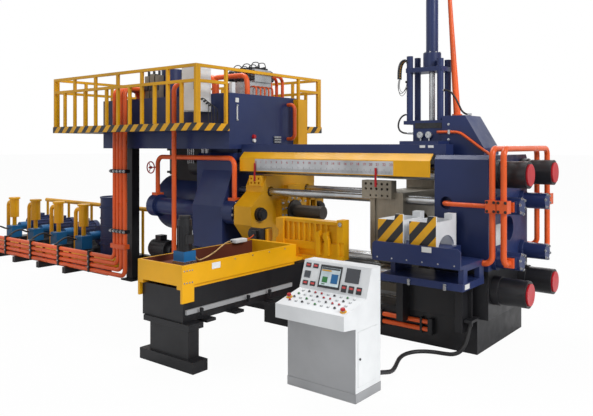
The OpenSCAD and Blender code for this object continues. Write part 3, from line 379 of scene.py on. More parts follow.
camera_data = bpy.data.cameras.new("camera")
camera_data.sensor_fit = "HORIZONTAL"
camera_data.sensor_width = 36
camera_data.lens = FOCAL_PIXELS / IMAGE_WIDTH * camera_data.sensor_width
camera_data.shift_y = (HORIZON_ROW - IMAGE_HEIGHT / 2) / IMAGE_WIDTH
camera_data.clip_end = 500
camera = placed("camera", camera_data)
camera.location = CAMERA_PLACE
camera.rotation_euler = (math.pi / 2, 0, CAMERA_TURN)
bpy.context.scene.camera = camera


# Console cable

CABLE_D = 0.045
CABLE_POINTS = [
    (2.580, -2.315, 0.120), (2.580, -2.240, 0.120), (2.579, -2.150, 0.104), (2.574, -2.040, 0.076),
    (2.560, -1.930, 0.048), (2.532, -1.820, 0.030), (2.492, -1.700, 0.026), (2.446, -1.580, 0.026),
    (2.404, -1.460, 0.026), (2.380, -1.340, 0.026), (2.388, -1.225, 0.026), (2.432, -1.125, 0.026),
    (2.510, -1.050, 0.026), (2.610, -1.005, 0.026), (2.715, -0.985, 0.026), (2.810, -0.970, 0.034),
    (2.880, -0.942, 0.066), (2.922, -0.908, 0.128), (2.942, -0.876, 0.205), (2.950, -0.850, 0.280),
    (2.955, -0.831, 0.345),
]


def smooth(points, steps=6):
    """The points with a smooth curve drawn through them."""
    line = [Vector(p) for p in points]
    ends = [2 * line[0] - line[1]] + line + [2 * line[-1] - line[-2]]
    out = []
    for a, b, c, d in zip(ends, ends[1:], ends[2:], ends[3:]):
        for k in range(steps):
            t = k / steps
            out.append(0.5 * (2 * b + (c - a) * t + (2 * a - 5 * b + 4 * c - d) * t ** 2
                              + (3 * b - a - 3 * c + d) * t ** 3))
    return out + [line[-1]]


def tube(name, points, diameter, material, body):
    """A round pipe or hose along a line of points, as a curve."""
    curve = bpy.data.curves.new(name, "CURVE")
    curve.dimensions = "3D"
    curve.bevel_depth = diameter / 2
    curve.bevel_resolution = 3
    curve.use_fill_caps = True
    spline = curve.splines.new("POLY")
    spline.points.add(len(points) - 1)
    for point, place in zip(spline.points, points):
        point.co = (*place, 1)
    piece = placed(name, curve)
    curve.materials.append(material)
    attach(piece, body)
    return piece


cable_line = smooth(CABLE_POINTS)
cable = tube("console_cord", cable_line, CABLE_D, cable_rubber, FRAME_BODY)
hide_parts("console_cable")


# Small parts gathered by body and finish

NEAR = Vector((0, -1, 0))
ALONG = Vector((1, 0, 0))
UP = Vector((0, 0, 1))
SINK = 0.001
PLATE_T = 0.004
ROUNDING_SHARE = 0.35
DETAIL_SHARP_ANGLE = math.radians(35)

# A bolt's washer and head, as shares of its size
WASHER_D = 1.5
WASHER_TOP = 0.15
BOLT_HEAD_D = 1.1
BOLT_HEAD_TOP = 0.65


class Detail:
    """Small pieces of one finish on one body, gathered in one mesh."""

    def __init__(self, name, material, slot, body=FRAME_BODY):
        self.name = name
        self.material = material
        self.slot = slot
        self.body = body
        self.bm = bmesh.new()

    def block(self, place, size, rounding):
        """A box of that size, turned and moved to its place, with rounded edges."""
        made = bmesh.ops.create_cube(self.bm, size=1, matrix=place @ Matrix.Diagonal((*size, 1)))
        if rounding:
            edges = list({edge for corner in made["verts"] for edge in corner.link_edges})
            bmesh.ops.bevel(self.bm, geom=edges, offset=rounding, segments=2, affect="EDGES")

    def box(self, low, high, bevel=0.004):
        """A box between two corners, with less rounding where it is thin."""
        middle = (Vector(low) + Vector(high)) / 2
        size = Vector(high) - Vector(low)
        self.block(Matrix.Translation(middle), size, min(bevel, ROUNDING_SHARE * min(size)))

    def rod(self, start, end, diameter, tip=None, sides=20):
        """A round bar, or a taper where its tip has a diameter of its own."""
        start = Vector(start)
        along = Vector(end) - start
        turn = along.to_track_quat("Z", "Y").to_matrix().to_4x4()
        tip = diameter if tip is None else tip
        bmesh.ops.create_cone(self.bm, cap_ends=True, segments=sides, radius1=diameter / 2, radius2=tip / 2,
                              depth=along.length, matrix=Matrix.Translation(start + along / 2) @ turn)

    def bolt(self, place, way, size):
        """A hexagon head on a washer, standing on a face."""
        place = Vector(place)
        seat = place + way * size * WASHER_TOP
        self.rod(place - way * SINK, seat, size * WASHER_D, sides=18)
        self.rod(seat, place + way * size * BOLT_HEAD_TOP, size * BOLT_HEAD_D, sides=6)

    def bolt_ring(self, middle, way, radius, count, size, start=0.0):
        """Bolts spread evenly on a circle around a middle."""
        side = way.orthogonal().normalized()
        for k in range(count):
            turn = Matrix.Rotation(start + 2 * math.pi * k / count, 3, way)
            self.bolt(Vector(middle) + turn @ side * radius, way, size)

    def done(self):
        """Turns the gathered pieces into one object that rides its body."""
        mesh = bpy.data.meshes.new(self.name)
        self.bm.to_mesh(mesh)
        self.bm.free()
        mesh.materials.append(self.material)
        for face in mesh.polygons:
            face.use_smooth = True
        mesh.set_sharp_from_angle(angle=DETAIL_SHARP_ANGLE)
        piece = placed(self.name, mesh)
        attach(piece, self.body)


def hose(name, points, diameter, material=cable_rubber, body=FRAME_BODY):
    """A free hose held at both ends."""
    line = smooth(points)
    piece = tube(name, line, diameter, material, body)


def pipe(name, points, diameter, material=orange_paint):
    """A bent steel pipe fixed to the press."""
    tube(name, smooth(points), diameter, material, FRAME_BODY)


# Shear: gauges, bare tags, feed pipe and hoses

SHEAR_FACE_Y = -0.2
CHEEK_FACE_Y = -0.24
BEAM_FACE_Y = -0.56
SHEAR_LINE_Y = -0.11
GAUGE_X = (2.02, 2.14)
GAUGE_Z = 2.53
GAUGE_D = 0.085
GAUGE_DEPTH = 0.045
DIAL_D = 0.07
TAG_X = (2.185, 2.3)
TAG_Z = (2.365, 2.397)
TAG_LENGTH = 0.075
FEED_PIPE_D = 0.036
FEED_PIPE_Y = -0.262
FEED_PIPE_POINTS = [
    (2.265, SHEAR_FACE_Y, 2.565), (2.3, FEED_PIPE_Y, 2.565), (2.5, FEED_PIPE_Y, 2.563),
    (2.57, FEED_PIPE_Y, 2.552), (2.64, FEED_PIPE_Y, 2.515), (2.86, FEED_PIPE_Y, 2.355),
    (2.93, FEED_PIPE_Y, 2.31), (2.96, FEED_PIPE_Y, 2.281),
]
LOW_HOSE_D = 0.023
LOW_HOSE_POINTS = [
    (1.77, -0.11, 2.806), (1.73, -0.114, 2.803), (1.685, -0.12, 2.775), (1.655, -0.132, 2.72),
    (1.65, -0.145, 2.655), (1.675, -0.158, 2.6), (1.725, -0.167, 2.568), (1.77, -0.17, 2.558),
    (1.8, -0.17, 2.556),
]
TOP_HOSE_D = 0.024
TOP_HOSE_POINTS = [
    (2.3, -0.11, 3.105), (2.34, -0.11, 3.1), (2.4, -0.11, 3.065), (2.455, -0.105, 2.99),
    (2.5, -0.1, 2.9), (2.53, -0.09, 2.835), (2.57, -0.075, 2.797), (2.61, -0.06, 2.785),
]


def shear_gauges():
    """Two pressure gauges with bare dials."""
    cases = Detail("shear_gauge_cases", steel, "machined_steel")
    faces = Detail("shear_gauge_faces", dial_face, "white_paint")
    hands = Detail("shear_gauge_hands", black_paint, "black_paint")
    for x in GAUGE_X:
        centre = Vector((x, SHEAR_FACE_Y, GAUGE_Z))
        neck = centre + NEAR * 0.02
        dial = centre + NEAR * (GAUGE_DEPTH + 0.0025)
        hub = centre + NEAR * (GAUGE_DEPTH + 0.0035)
        cases.rod(centre, centre + NEAR * GAUGE_DEPTH, GAUGE_D, sides=36)
        cases.rod(neck - UP * 0.042, neck - UP * 0.075, 0.022)
        faces.rod(dial - NEAR * 0.0035, dial - NEAR * 0.0005, DIAL_D, sides=36)
        hands.rod(hub, hub + Vector((-0.016, 0, 0.022)), 0.004, 0.002, 8)
        for k in range(9):
            angle = math.radians(-120 + 30 * k)
            spoke = Vector((math.sin(angle), 0, math.cos(angle)))
            hands.rod(dial + spoke * 0.026, dial + spoke * 0.032, 0.0025, sides=6)
    for group in (cases, faces, hands):
        group.done()


def shear_details():
    shear_gauges()
    tags = Detail("shear_tags", white_paint, "white_paint")
    for x in TAG_X:
        tags.box((x, BEAM_FACE_Y - PLATE_T, TAG_Z[0]), (x + TAG_LENGTH, BEAM_FACE_Y, TAG_Z[1]), 0.001)
    tags.done()
    # A thin black plate on the shear face is painted shadow, standing in for the shade inside the slot.
    slot_shade = Detail("shear_slot_shadow", plastic, "black_paint")
    slot_shade.box((1.93, SHEAR_FACE_Y - 0.006, 2.615), (2.31, SHEAR_FACE_Y, 2.685), 0.002)
    slot_shade.done()
    pipe("shear_feed_pipe", FEED_PIPE_POINTS, FEED_PIPE_D)
    low_end = Vector(LOW_HOSE_POINTS[-1])
    low_start = Vector(LOW_HOSE_POINTS[0])
    top_start = Vector(TOP_HOSE_POINTS[0])
    fittings = Detail("shear_fittings", steel, "machined_steel")
    fittings.box((2.43, FEED_PIPE_Y - 0.03, 2.535), (2.46, CHEEK_FACE_Y, 2.592))
    for z in (2.47, 2.66):
        fittings.bolt((2.42, CHEEK_FACE_Y, z), NEAR, 0.022)
    fittings.rod(low_end + Vector((0.1, 0, -0.004)), low_end, 0.03)
    fittings.rod(low_start - ALONG * 0.01, low_start + ALONG * 0.03, 0.034)
    fittings.rod(top_start - ALONG * 0.02, top_start, 0.036)
    fittings.box((2.6, -0.085, 2.77), (2.64, -0.035, 2.802))
    fittings.done()
    hose("shear_low_hose", LOW_HOSE_POINTS, LOW_HOSE_D)
    hose("shear_top_hose", TOP_HOSE_POINTS, TOP_HOSE_D)


# Drag chain beside the shear

CHAIN_POINTS = [
    (1.79, SHEAR_LINE_Y, 3.5), (1.75, SHEAR_LINE_Y, 3.53), (1.7, SHEAR_LINE_Y, 3.515),
    (1.665, SHEAR_LINE_Y, 3.46), (1.652, SHEAR_LINE_Y, 3.38), (1.65, SHEAR_LINE_Y, 3.28),
]
CHAIN_LINK_D = 0.03
CHAIN_BAR_D = 0.018
CHAIN_SIDES = (-0.032, 0.026)
CHAIN_LINK_SHARE = 0.92
CHAIN_HOSE_D = 0.007
CHAIN_HOSE_Y = -0.13
CHAIN_HOSE_PITCH = 0.018
CHAIN_HOSE_LOW_Z = (3.09, 3.06, 3.11)


def drag_chain():
    """Cable chain that bends over, one open link after another, and the thin hoses out of it."""
    links = Detail("shear_drag_chain", plastic, "black_paint")
    bars = Detail("shear_chain_bars", yellow_paint, "yellow_paint")
    path = smooth(CHAIN_POINTS, 3)
    for a, b in zip(path, path[1:]):
        for side in CHAIN_SIDES:
            start = a - NEAR * side
            links.rod(start, start + (b - a) * CHAIN_LINK_SHARE, CHAIN_LINK_D, sides=10)
        bars.rod(a + NEAR * 0.034, a - NEAR * 0.03, CHAIN_BAR_D, sides=10)
    links.done()
    bars.done()
    for k, low in enumerate(CHAIN_HOSE_LOW_Z):
        y = CHAIN_HOSE_Y + CHAIN_HOSE_PITCH * k
        hose(f"shear_chain_hose_{k}", [
            (1.77, y, 3.235), (1.763, y, 3.19), (1.746, y, low + 0.06), (1.718, y, low + 0.018),
            (1.685, y, low), (1.655, y, low + 0.022), (1.639, y, low + 0.07), (1.638, y, 3.22),
            (1.65, y, 3.28),
        ], CHAIN_HOSE_D)
    clips = Detail("shear_chain_clips", black_paint, "black_paint")
    clips.box((1.755, -0.15, 3.225), (1.79, -0.07, 3.255))
    clips.box((1.77, -0.15, 3.48), (1.8, -0.07, 3.52))
    clips.done()


# Measuring scale

TICK_PITCH = 0.02
TICK_W = 0.003
TICK_FOOT = 0.012
TICK_TALL = 0.06
TICK_SHORT = 0.035
TICKS_PER_NUMBER = 5
SCALE_MARGIN = 0.02
NUMBER_SIZE = 0.05
NUMBER_DROP = 0.06


def scale_marks():
    """Ticks along the scale plate, and a plain number at each tall one."""
    low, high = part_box("scale_plate")
    face = low[1] - SINK
    foot = low[2] + TICK_FOOT
    start = low[0] + SCALE_MARGIN
    count = int((high[0] - low[0] - 2 * SCALE_MARGIN) / TICK_PITCH)
    ticks = Detail("scale_ticks", plastic, "black_paint")
    for k in range(count + 1):
        x = start + TICK_PITCH * k
        tall = TICK_SHORT if k % TICKS_PER_NUMBER else TICK_TALL
        ticks.box((x - TICK_W / 2, face, foot), (x + TICK_W / 2, low[1], foot + tall), 0)
    ticks.done()
    for k in range(0, count + 1, TICKS_PER_NUMBER):
        text = bpy.data.curves.new(f"scale_number_{k}", "FONT")
        text.body = str(k // TICKS_PER_NUMBER)
        text.size = NUMBER_SIZE
        text.align_x = "CENTER"
        text.extrude = SINK / 2
        text.resolution_u = 2
        text.materials.append(red_paint)
        piece = placed(f"scale_number_{k}", text)
        piece.location = (start + TICK_PITCH * k, face, high[2] - NUMBER_DROP)
        piece.rotation_euler = (math.pi / 2, 0, 0)
        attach(piece, FRAME_BODY)


# Console: its desk and its upper panel are sloping planes from a lower to an upper edge

DESK = (Vector((0, -2.95, 0.85)), Vector((0, -2.57, 0.94)))
PANEL = (DESK[1], Vector((0, -2.474, 1.215)))
CONSOLE_FRONT_Y = -2.761
CONSOLE_PLATE_ROUNDING = 0.0015
BEZEL_LIFT = 0.006
DIGITS_LIFT = 0.0075
BUTTON_ROWS = 4
BUTTON_COLOURS = ("red", "white", "black", "white", "green", "white", "white", "black", "red")
BUTTON_D = 0.03
BUTTON_CAP_D = 0.022
STOP_BUTTONS = ((0.06, 0.42), (0.93, 0.2))


def on_plane(plane, u, v, lift=0.0):
    """A place on a console plane, by its shares u across and v up, and the plane's normal."""
    low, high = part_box("console")
    along = plane[1] - plane[0]
    normal = Vector((0, -along.z, along.y)).normalized()
    place = plane[0] + along * v + normal * lift
    return Vector((low[0] + (high[0] - low[0]) * u, place.y, place.z)), normal


def console_plate(group, plane, across, up, lift, thick=PLATE_T):
    """A flat plate on a console plane, between two shares across and two shares up."""
    a, normal = on_plane(plane, across[0], up[0], lift)
    b, normal = on_plane(plane, across[1], up[1], lift)
    way = (plane[1] - plane[0]).normalized()
    turn = Matrix(((1, 0, 0), (0, way.y, normal.y), (0, way.z, normal.z))).to_4x4()
    middle = (a + b) / 2 - normal * thick / 2
    size = Vector((b.x - a.x, (b - a).dot(way), thick))
    group.block(Matrix.Translation(middle) @ turn, size, CONSOLE_PLATE_ROUNDING)


def console_panel():
    """The screen with plain colour blocks, the meters beside it and the dark windows."""
    bezels = Detail("console_bezels", plastic, "black_paint")
    glass = Detail("console_screen", display, "white_paint")
    dark = Detail("console_dark_glass", display_dark, "black_paint")
    digits = Detail("console_meters", red_digits, "red_paint")
    yellow = Detail("console_screen_yellow", yellow_paint, "yellow_paint")
    green = Detail("console_screen_green", green_paint, "blue_paint")
    blue = Detail("console_screen_blue", blue_paint, "blue_paint")
    console_plate(bezels, PANEL, (0.275, 0.6), (0.12, 0.9), BEZEL_LIFT)
    console_plate(glass, PANEL, (0.295, 0.58), (0.2, 0.82), 0.008)
    console_plate(dark, PANEL, (0.66, 0.86), (0.42, 0.9), 0.005)
    console_plate(dark, PANEL, (0.04, 0.135), (0.38, 0.62), 0.005)
    for u in (0.63, 0.735, 0.845):
        console_plate(bezels, PANEL, (u, u + 0.075), (0.08, 0.32), BEZEL_LIFT)
        console_plate(digits, PANEL, (u + 0.012, u + 0.063), (0.2, 0.27), DIGITS_LIFT)
    for u in (0.04, 0.155):
        for v in (0.12, 0.74):
            console_plate(bezels, PANEL, (u, u + 0.08), (v, v + 0.16), BEZEL_LIFT)
            console_plate(digits, PANEL, (u + 0.012, u + 0.068), (v + 0.05, v + 0.12), DIGITS_LIFT)
    for group, across, up in (
        (dark, (0.3, 0.575), (0.755, 0.81)),
        (yellow, (0.305, 0.45), (0.69, 0.74)),
        (green, (0.33, 0.41), (0.3, 0.5)),
        (blue, (0.46, 0.56), (0.3, 0.62)),
        (green, (0.33, 0.38), (0.23, 0.27)),
    ):
        console_plate(group, PANEL, across, up, 0.0092, 0.002)
    for group in (bezels, glass, dark, digits, yellow, green, blue):
        group.done()


def console_buttons():
    """Rows of push buttons on the desk, and two stop buttons on yellow plates."""
    rims = Detail("console_button_rims", steel, "machined_steel")
    stop_plates = Detail("console_stop_plates", yellow_paint, "yellow_paint")
    caps = {
        "white": Detail("console_caps_white", white_paint, "white_paint"),
        "red": Detail("console_caps_red", red_paint, "red_paint"),
        "green": Detail("console_caps_green", green_paint, "blue_paint"),
        "black": Detail("console_caps_black", plastic, "black_paint"),
    }
    columns = len(BUTTON_COLOURS)
    for row in range(BUTTON_ROWS):
        for column in range(columns):
            place, normal = on_plane(DESK, 0.12 + 0.095 * column, 0.28 + 0.19 * row)
            cap = caps[BUTTON_COLOURS[(column + 2 * row) % columns]]
            rims.rod(place - normal * SINK, place + normal * 0.006, BUTTON_D, sides=24)
            cap.rod(place + normal * 0.005, place + normal * 0.016, BUTTON_CAP_D, 0.019)
    for u, v in STOP_BUTTONS:
        place, normal = on_plane(DESK, u, v)
        stop_plates.rod(place - normal * SINK, place + normal * 0.004, 0.066, sides=36)
        rims.rod(place + normal * 0.003, place + normal * 0.022, BUTTON_D, sides=24)
        caps["red"].rod(place + normal * 0.02, place + normal * 0.04, 0.046, 0.036, 28)
    for group in (rims, stop_plates, *caps.values()):
        group.done()


def console_face():
    console_panel()
    console_buttons()
    low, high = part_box("console")
    trim = Detail("console_trim", kick_steel, "machined_steel")
    trim.box((low[0] - PLATE_T, CONSOLE_FRONT_Y, 0.0), (high[0] + PLATE_T, high[1] + PLATE_T, 0.09), 0.002)
    trim.done()
    door = Detail("console_door", white_paint, "white_paint")
    door.box((high[0] - SINK, -2.72, 0.14), (high[0] + PLATE_T, -2.36, 0.66), 0.002)
    door.box((low[0] + 0.05, high[1] - SINK, 0.14), (high[0] - 0.05, high[1] + 0.005, 1.1), 0.002)
    door.done()
    back_lock = Vector((low[0] + 0.1, high[1], 0.62))
    side_lock = Vector((high[0], -2.69, 0.4))
    locks = Detail("console_locks", plastic, "black_paint")
    locks.rod(back_lock - NEAR * 0.004, back_lock - NEAR * 0.014, 0.03)
    locks.rod(side_lock + ALONG * 0.003, side_lock + ALONG * 0.012, 0.022)
    locks.done()


# Tank: sight glass, lamp and drains on its front, prefill duct below, valves on top

TANK_TOP_Z = 3.188
SIGHT_Y = -0.66
SIGHT_Z = (2.785, 3.005)
LAMP_Y = -0.287
DRAIN_X = -2.02
DRAIN_Y = -0.6
DRAIN_PITCH = 0.045
DRAIN_D = 0.014
DUCT_X = -2.92
DUCT_LOW_Z = 1.87
DUCT_D = 0.34
DUCT_FLANGE_D = 0.44
DUCT_FLANGE_T = 0.035
STACK_X = -3.12
STACK_PITCH = 0.14
STACK_W = 0.12
HEADER_D = 0.085
HEADER_POINTS = [
    (-1.6, -0.42, 3.47), (-1.52, -0.41, 3.49), (-1.4, -0.385, 3.495), (-1.25, -0.375, 3.495),
    (-1.1, -0.375, 3.495), (-1.0, -0.375, 3.49), (-0.94, -0.375, 3.46), (-0.91, -0.375, 3.4),
    (-0.9, -0.375, 3.3), (-0.9, -0.375, TANK_TOP_Z),
]
TOP_PIPE_D = 0.028
TOP_PIPE_Z = 3.33
TOP_PIPE_COUNT = 5
VALVE_X = -1.395
VALVE_PITCH = 0.15
VALVE_COUNT = 4
COIL_D = 0.062
VALVE_LEAD_D = 0.015
VALVE_LEAD_COUNT = 7
VALVE_LEAD_Y = -0.17
VALVE_LEAD_PITCH = 0.05


def tank_front():
    low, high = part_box("oil_tank")
    face = high[0]
    floor_z = low[2]
    glass = Detail("tank_sight_glass", dial_face, "white_paint")
    glass.box((face, SIGHT_Y - 0.012, 2.79), (face + 0.012, SIGHT_Y + 0.012, 3.0), 0.003)
    glass.box((face, -0.7, 3.05), (face + 0.01, -0.625, 3.12), 0.003)
    glass.rod((face, LAMP_Y, 2.47), (face + 0.03, LAMP_Y, 2.47), 0.06)
    glass.done()
    lamp_cap = Detail("tank_lamp", red_paint, "red_paint")
    lamp_cap.rod((face, LAMP_Y, 2.53), (face + 0.035, LAMP_Y, 2.53), 0.075, 0.06, 28)
    lamp_cap.done()
    fittings = Detail("tank_fittings", steel, "machined_steel")
    for z in SIGHT_Z:
        fittings.box((face, SIGHT_Y - 0.02, z - 0.012), (face + 0.02, SIGHT_Y + 0.02, z + 0.012), 0.003)
    for z in (2.435, 2.475, 2.515):
        fittings.box((face, 0.19, z), (face + 0.03, 0.36, z + 0.026), 0.003)
    for k in range(4):
        x = DRAIN_X + DRAIN_PITCH * k
        fittings.rod((x, DRAIN_Y, floor_z), (x, DRAIN_Y, floor_z - 0.05), 0.026, sides=6)
        pipe(f"tank_drain_{k}", [
            (x, DRAIN_Y, floor_z), (x, DRAIN_Y, 2.14), (x, -0.58, 2.08), (x, -0.52, 2.04), (x, -0.4, 2.02),
            (x, -0.27, 2.02),
        ], DRAIN_D, steel)
    fittings.done()
    caps = Detail("tank_drain_caps", white_paint, "white_paint")
    for x in (-1.66, -1.57):
        caps.rod((x, DRAIN_Y, floor_z), (x, DRAIN_Y, floor_z - 0.07), 0.055)
    caps.box((face - 0.09, -0.74, TANK_TOP_Z), (face - 0.03, -0.66, 3.36))
    caps.done()
    # A duct hangs from the tank's floor; its shape is a plausible suction duct, and its black is painted
    # shade, standing in for the deep shade behind the rear platen.
    duct = Detail("prefill_duct", black_paint, "black_paint")
    duct.rod((DUCT_X, 0, floor_z), (DUCT_X, 0, DUCT_LOW_Z), DUCT_D, sides=36)
    for z in (DUCT_LOW_Z + 0.03, floor_z - 0.04):
        duct.rod((DUCT_X, 0, z), (DUCT_X, 0, z + DUCT_FLANGE_T), DUCT_FLANGE_D, sides=36)
    duct.done()


def tank_top():
    stack = Detail("tank_valve_stack", tool_steel, "tool_steel")
    knobs = Detail("tank_valve_knobs", plastic, "black_paint")
    for k in range(3):
        x = STACK_X + STACK_PITCH * k
        middle = x + STACK_W / 2
        stack.box((x, -0.62, TANK_TOP_Z), (x + STACK_W, -0.52, 3.6 + 0.03 * (k % 2)), 0.006)
        knobs.rod((middle, -0.57, 3.59), (middle, -0.57, 3.68), 0.045)
        knobs.box((middle - 0.05, -0.64, 3.34), (middle + 0.05, -0.618, 3.44))
    stack.done()
    knobs.done()
    pipe("tank_top_header", HEADER_POINTS, HEADER_D)
    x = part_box("valve_manifold")[1][0] - 0.05
    for k in range(TOP_PIPE_COUNT):
        y = -0.2 + 0.1 * k
        pipe(f"tank_top_pipe_{k}", [
            (x, y, TOP_PIPE_Z), (x + 0.035, y, TOP_PIPE_Z), (x + 0.065, y, TOP_PIPE_Z - 0.015),
            (x + 0.08, y, TOP_PIPE_Z - 0.05), (x + 0.08, y, 3.19),
        ], TOP_PIPE_D)


def valve_block():
    """Solenoid coils along the valve block, and the leads looped over it."""
    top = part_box("valve_manifold")[1][2]
    coils = Detail("valve_coils", plastic, "black_paint")
    nuts = Detail("valve_coil_nuts", steel, "machined_steel")
    valves = [VALVE_X + VALVE_PITCH * k for k in range(VALVE_COUNT)]
    rows = [VALVE_LEAD_Y + VALVE_LEAD_PITCH * k for k in range(VALVE_LEAD_COUNT)]
    for x in valves:
        for side in (-1, 1):
            y = side * 0.24
            for z in (top - 0.06, top - 0.15):
                coils.rod((x, side * 0.198, z), (x, side * 0.28, z), COIL_D)
                coils.box((x - 0.02, y - 0.025, z + 0.02), (x + 0.02, y + 0.025, z + 0.05))
                nuts.rod((x, side * 0.278, z), (x, side * 0.3, z), 0.03, sides=6)
        for k, y in enumerate(rows):
            box_top = top + 0.03 + 0.012 * (k % 3)
            coils.box((x - 0.02, y - 0.016, top - SINK), (x + 0.02, y + 0.016, box_top))
    coils.done()
    nuts.done()
    for k, y in enumerate(rows):
        x = valves[k % 3]
        high = top + 0.085 + 0.02 * (k % 3)
        hose(f"valve_lead_{k}", [
            (x, y, top - 0.002), (x, y, top + 0.04), (x + 0.015, y + 0.005, high - 0.02),
            (x + 0.05, y + 0.01, high), (x + 0.1, y + 0.02, high), (x + 0.135, y + 0.025, high - 0.02),
            (x + 0.15, y + 0.03, top + 0.04), (x + 0.15, y + 0.03, top - 0.002),
        ], VALVE_LEAD_D)


# Control box on the platform

CONTROL_LEAD_Y = (-1.03, -0.98, -0.93, -0.88)
CONTROL_LEAD_Z = 3.1
CONTROL_LEAD_STEP = 0.03
CONTROL_LEAD_D = 0.014
CONTROL_DOOR_T = 0.018
CONTROL_DOOR_INSET = 0.012


def control_box_details():
    low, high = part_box("control_box")
    face = low[1] - CONTROL_DOOR_T
    inset = Vector((CONTROL_DOOR_INSET, 0, CONTROL_DOOR_INSET))
    hinge = Vector((low[0] + 0.004, low[1] - 0.012, 0))
    door = Detail("control_box_door", white_paint, "white_paint")
    door.box(Vector((low[0], face, low[2])) + inset, Vector((high[0], low[1], high[2])) - inset)
    door.done()
    dark = Detail("control_box_hardware", plastic, "black_paint")
    dark.box((high[0] - 0.06, face - 0.022, 3.24), (high[0] - 0.035, face + SINK, 3.36))
    for z in (3.02, 3.5):
        dark.rod(hinge + UP * (z - 0.03), hinge + UP * (z + 0.03), 0.018)
    for k, y in enumerate(CONTROL_LEAD_Y):
        gland = Vector((high[0], y, CONTROL_LEAD_Z - CONTROL_LEAD_STEP * k))
        dark.rod(gland, gland + ALONG * 0.03, 0.03)
    dark.done()
    for k, y in enumerate(CONTROL_LEAD_Y):
        z = CONTROL_LEAD_Z - CONTROL_LEAD_STEP * k
        out = high[0] + 0.14 + 0.012 * k
        hose(f"control_lead_{k}", [
            (high[0] + 0.03, y, z), (high[0] + 0.07, y, z - 0.006), (out - 0.01, y + 0.01, z - 0.06),
            (out, y + 0.015, z - 0.16), (out, y + 0.015, 2.84), (out, y + 0.012, 2.75),
            (out, y + 0.01, 2.68), (out, y + 0.01, 2.662),
        ], CONTROL_LEAD_D)
    plate = Detail("control_box_plate", dial_face, "white_paint")
    plate.box((low[0] + 0.1, face - 0.0025, 3.36), (low[0] + 0.17, face + 0.0005, 3.43), 0.001)
    plate.done()


# Plates, bolts and clamps of the press

AXIS_Z = 1.385
SIDE_ROD_Y = 0.72
SIDE_CYLINDER_FACE_X = -0.74
SHIFT_CYLINDER_FACE_X = 3.42
SHIFT_CYLINDER_Y = 0.45
SHIFT_CYLINDER_Z = (1.07, 1.7)
SHEAR_CYLINDER_TOP = (2.075, 0, 3.61)
PIPE_BLOCK_X = (3.19, 3.32)
PIPE_BLOCK_Y = 0.82
PIPE_BLOCK_Z = (1.66, 1.76)
BASE_PIPE_X = (2.03, 2.42)
BASE_PIPE_Y = -0.753
BASE_PIPE_Z = (0.19, 0.28)
BASE_PIPE_D = 0.056
BASE_CLAMP_Z = (0.14, 0.33)


def press_details():
    table_low, table_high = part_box("die_table")
    guard_y = table_low[1]
    table_end = table_high[0]
    platen_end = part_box("front_platen")[1][0]
    plates = Detail("bare_plates", dial_face, "white_paint")
    plates.box((2.626, guard_y - 0.003, 1.222), (2.745, guard_y, 1.282), 0.001)
    plates.box((platen_end, -0.43, 1.22), (platen_end + PLATE_T, -0.27, 1.47), 0.001)
    plates.box((table_end, -1.25, 0.845), (table_end + PLATE_T, -1.13, 0.9), 0.001)
    plates.done()

    steel_bolts = Detail("steel_bolts", steel, "machined_steel")
    for k in range(6):
        steel_bolts.bolt((2.06 + 0.19 * k, guard_y, 1.11), NEAR, 0.012)
    for side in (-1, 1):
        steel_bolts.bolt_ring((SIDE_CYLINDER_FACE_X, side * SIDE_ROD_Y, AXIS_Z), ALONG, 0.158, 10, 0.03)
        for z in SHIFT_CYLINDER_Z:
            steel_bolts.bolt_ring((SHIFT_CYLINDER_FACE_X, side * SHIFT_CYLINDER_Y, z), ALONG, 0.09, 6, 0.026)
    steel_bolts.bolt_ring(SHEAR_CYLINDER_TOP, UP, 0.1, 8, 0.022, 0.2)
    for x in (2.425, 2.862):
        steel_bolts.box((x, guard_y + 0.035, 0.825), (x + 0.03, guard_y + 0.062, 0.895), 0.003)
    steel_bolts.done()

    skirt = Detail("die_table_skirt", black_paint, "black_paint")
    skirt.box((2.0, -0.755, 0.392), (2.95, -0.728, DIE_TRAY_Z), 0.003)
    skirt.done()
    base_pipes = Detail("base_pipe_ends", orange_paint, "orange_paint")
    for z in BASE_PIPE_Z:
        base_pipes.rod((BASE_PIPE_X[0], BASE_PIPE_Y, z), (BASE_PIPE_X[1], BASE_PIPE_Y, z), BASE_PIPE_D)
    base_pipes.done()

    black_bolts = Detail("black_bolts", black_paint, "black_paint")
    for x in PIPE_BLOCK_X:
        for side in (-1, 1):
            for step_x in (-0.04, 0.04):
                for z in PIPE_BLOCK_Z:
                    black_bolts.bolt((x + step_x, side * PIPE_BLOCK_Y, z), -NEAR * side, 0.022)
    for x in (1.2, 1.75, 2.3):
        black_bolts.box((x, -0.785, BASE_CLAMP_Z[0]), (x + 0.03, -0.725, BASE_CLAMP_Z[1]))
    black_bolts.box((2.41, -0.8, BASE_CLAMP_Z[0]), (2.47, -0.724, BASE_CLAMP_Z[1]), 0.006)
    rail_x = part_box("loader_bed")[1][0]
    for y in (-2.98, -2.24, -1.86):
        black_bolts.box((rail_x - 0.03, y, 0.57), (rail_x + 0.01, y + 0.03, 0.645))
    black_bolts.done()


# Billet loader: bolts, connector box and leads

LOADER_BOLT = 0.012
ROLLER_Z = 1.405
LEAD_BOX = ((0.04, -1.72, 1.12), (0.15, -1.5, 1.165))
GLAND_D = 0.024
MOTOR_LEAD_D = 0.018
MOTOR_LEAD_POINTS = [
    (0.07, -1.745, 1.142), (0.073, -1.8, 1.142), (0.12, -1.95, 1.115), (0.21, -2.15, 1.08),
    (0.33, -2.38, 1.068), (0.42, -2.56, 1.068), (0.48, -2.68, 1.08), (0.5, -2.74, 1.12),
    (0.5, -2.775, 1.17), (0.495, -2.808, 1.19),
]
SERVO_LEAD_D = 0.014
SERVO_LEAD_POINTS = [
    (0.06, -1.475, 1.142), (0.055, -1.42, 1.14), (0.04, -1.35, 1.138), (0.018, -1.285, 1.144),
    (0.0, -1.235, 1.155), (-0.01, -1.202, 1.165),
]


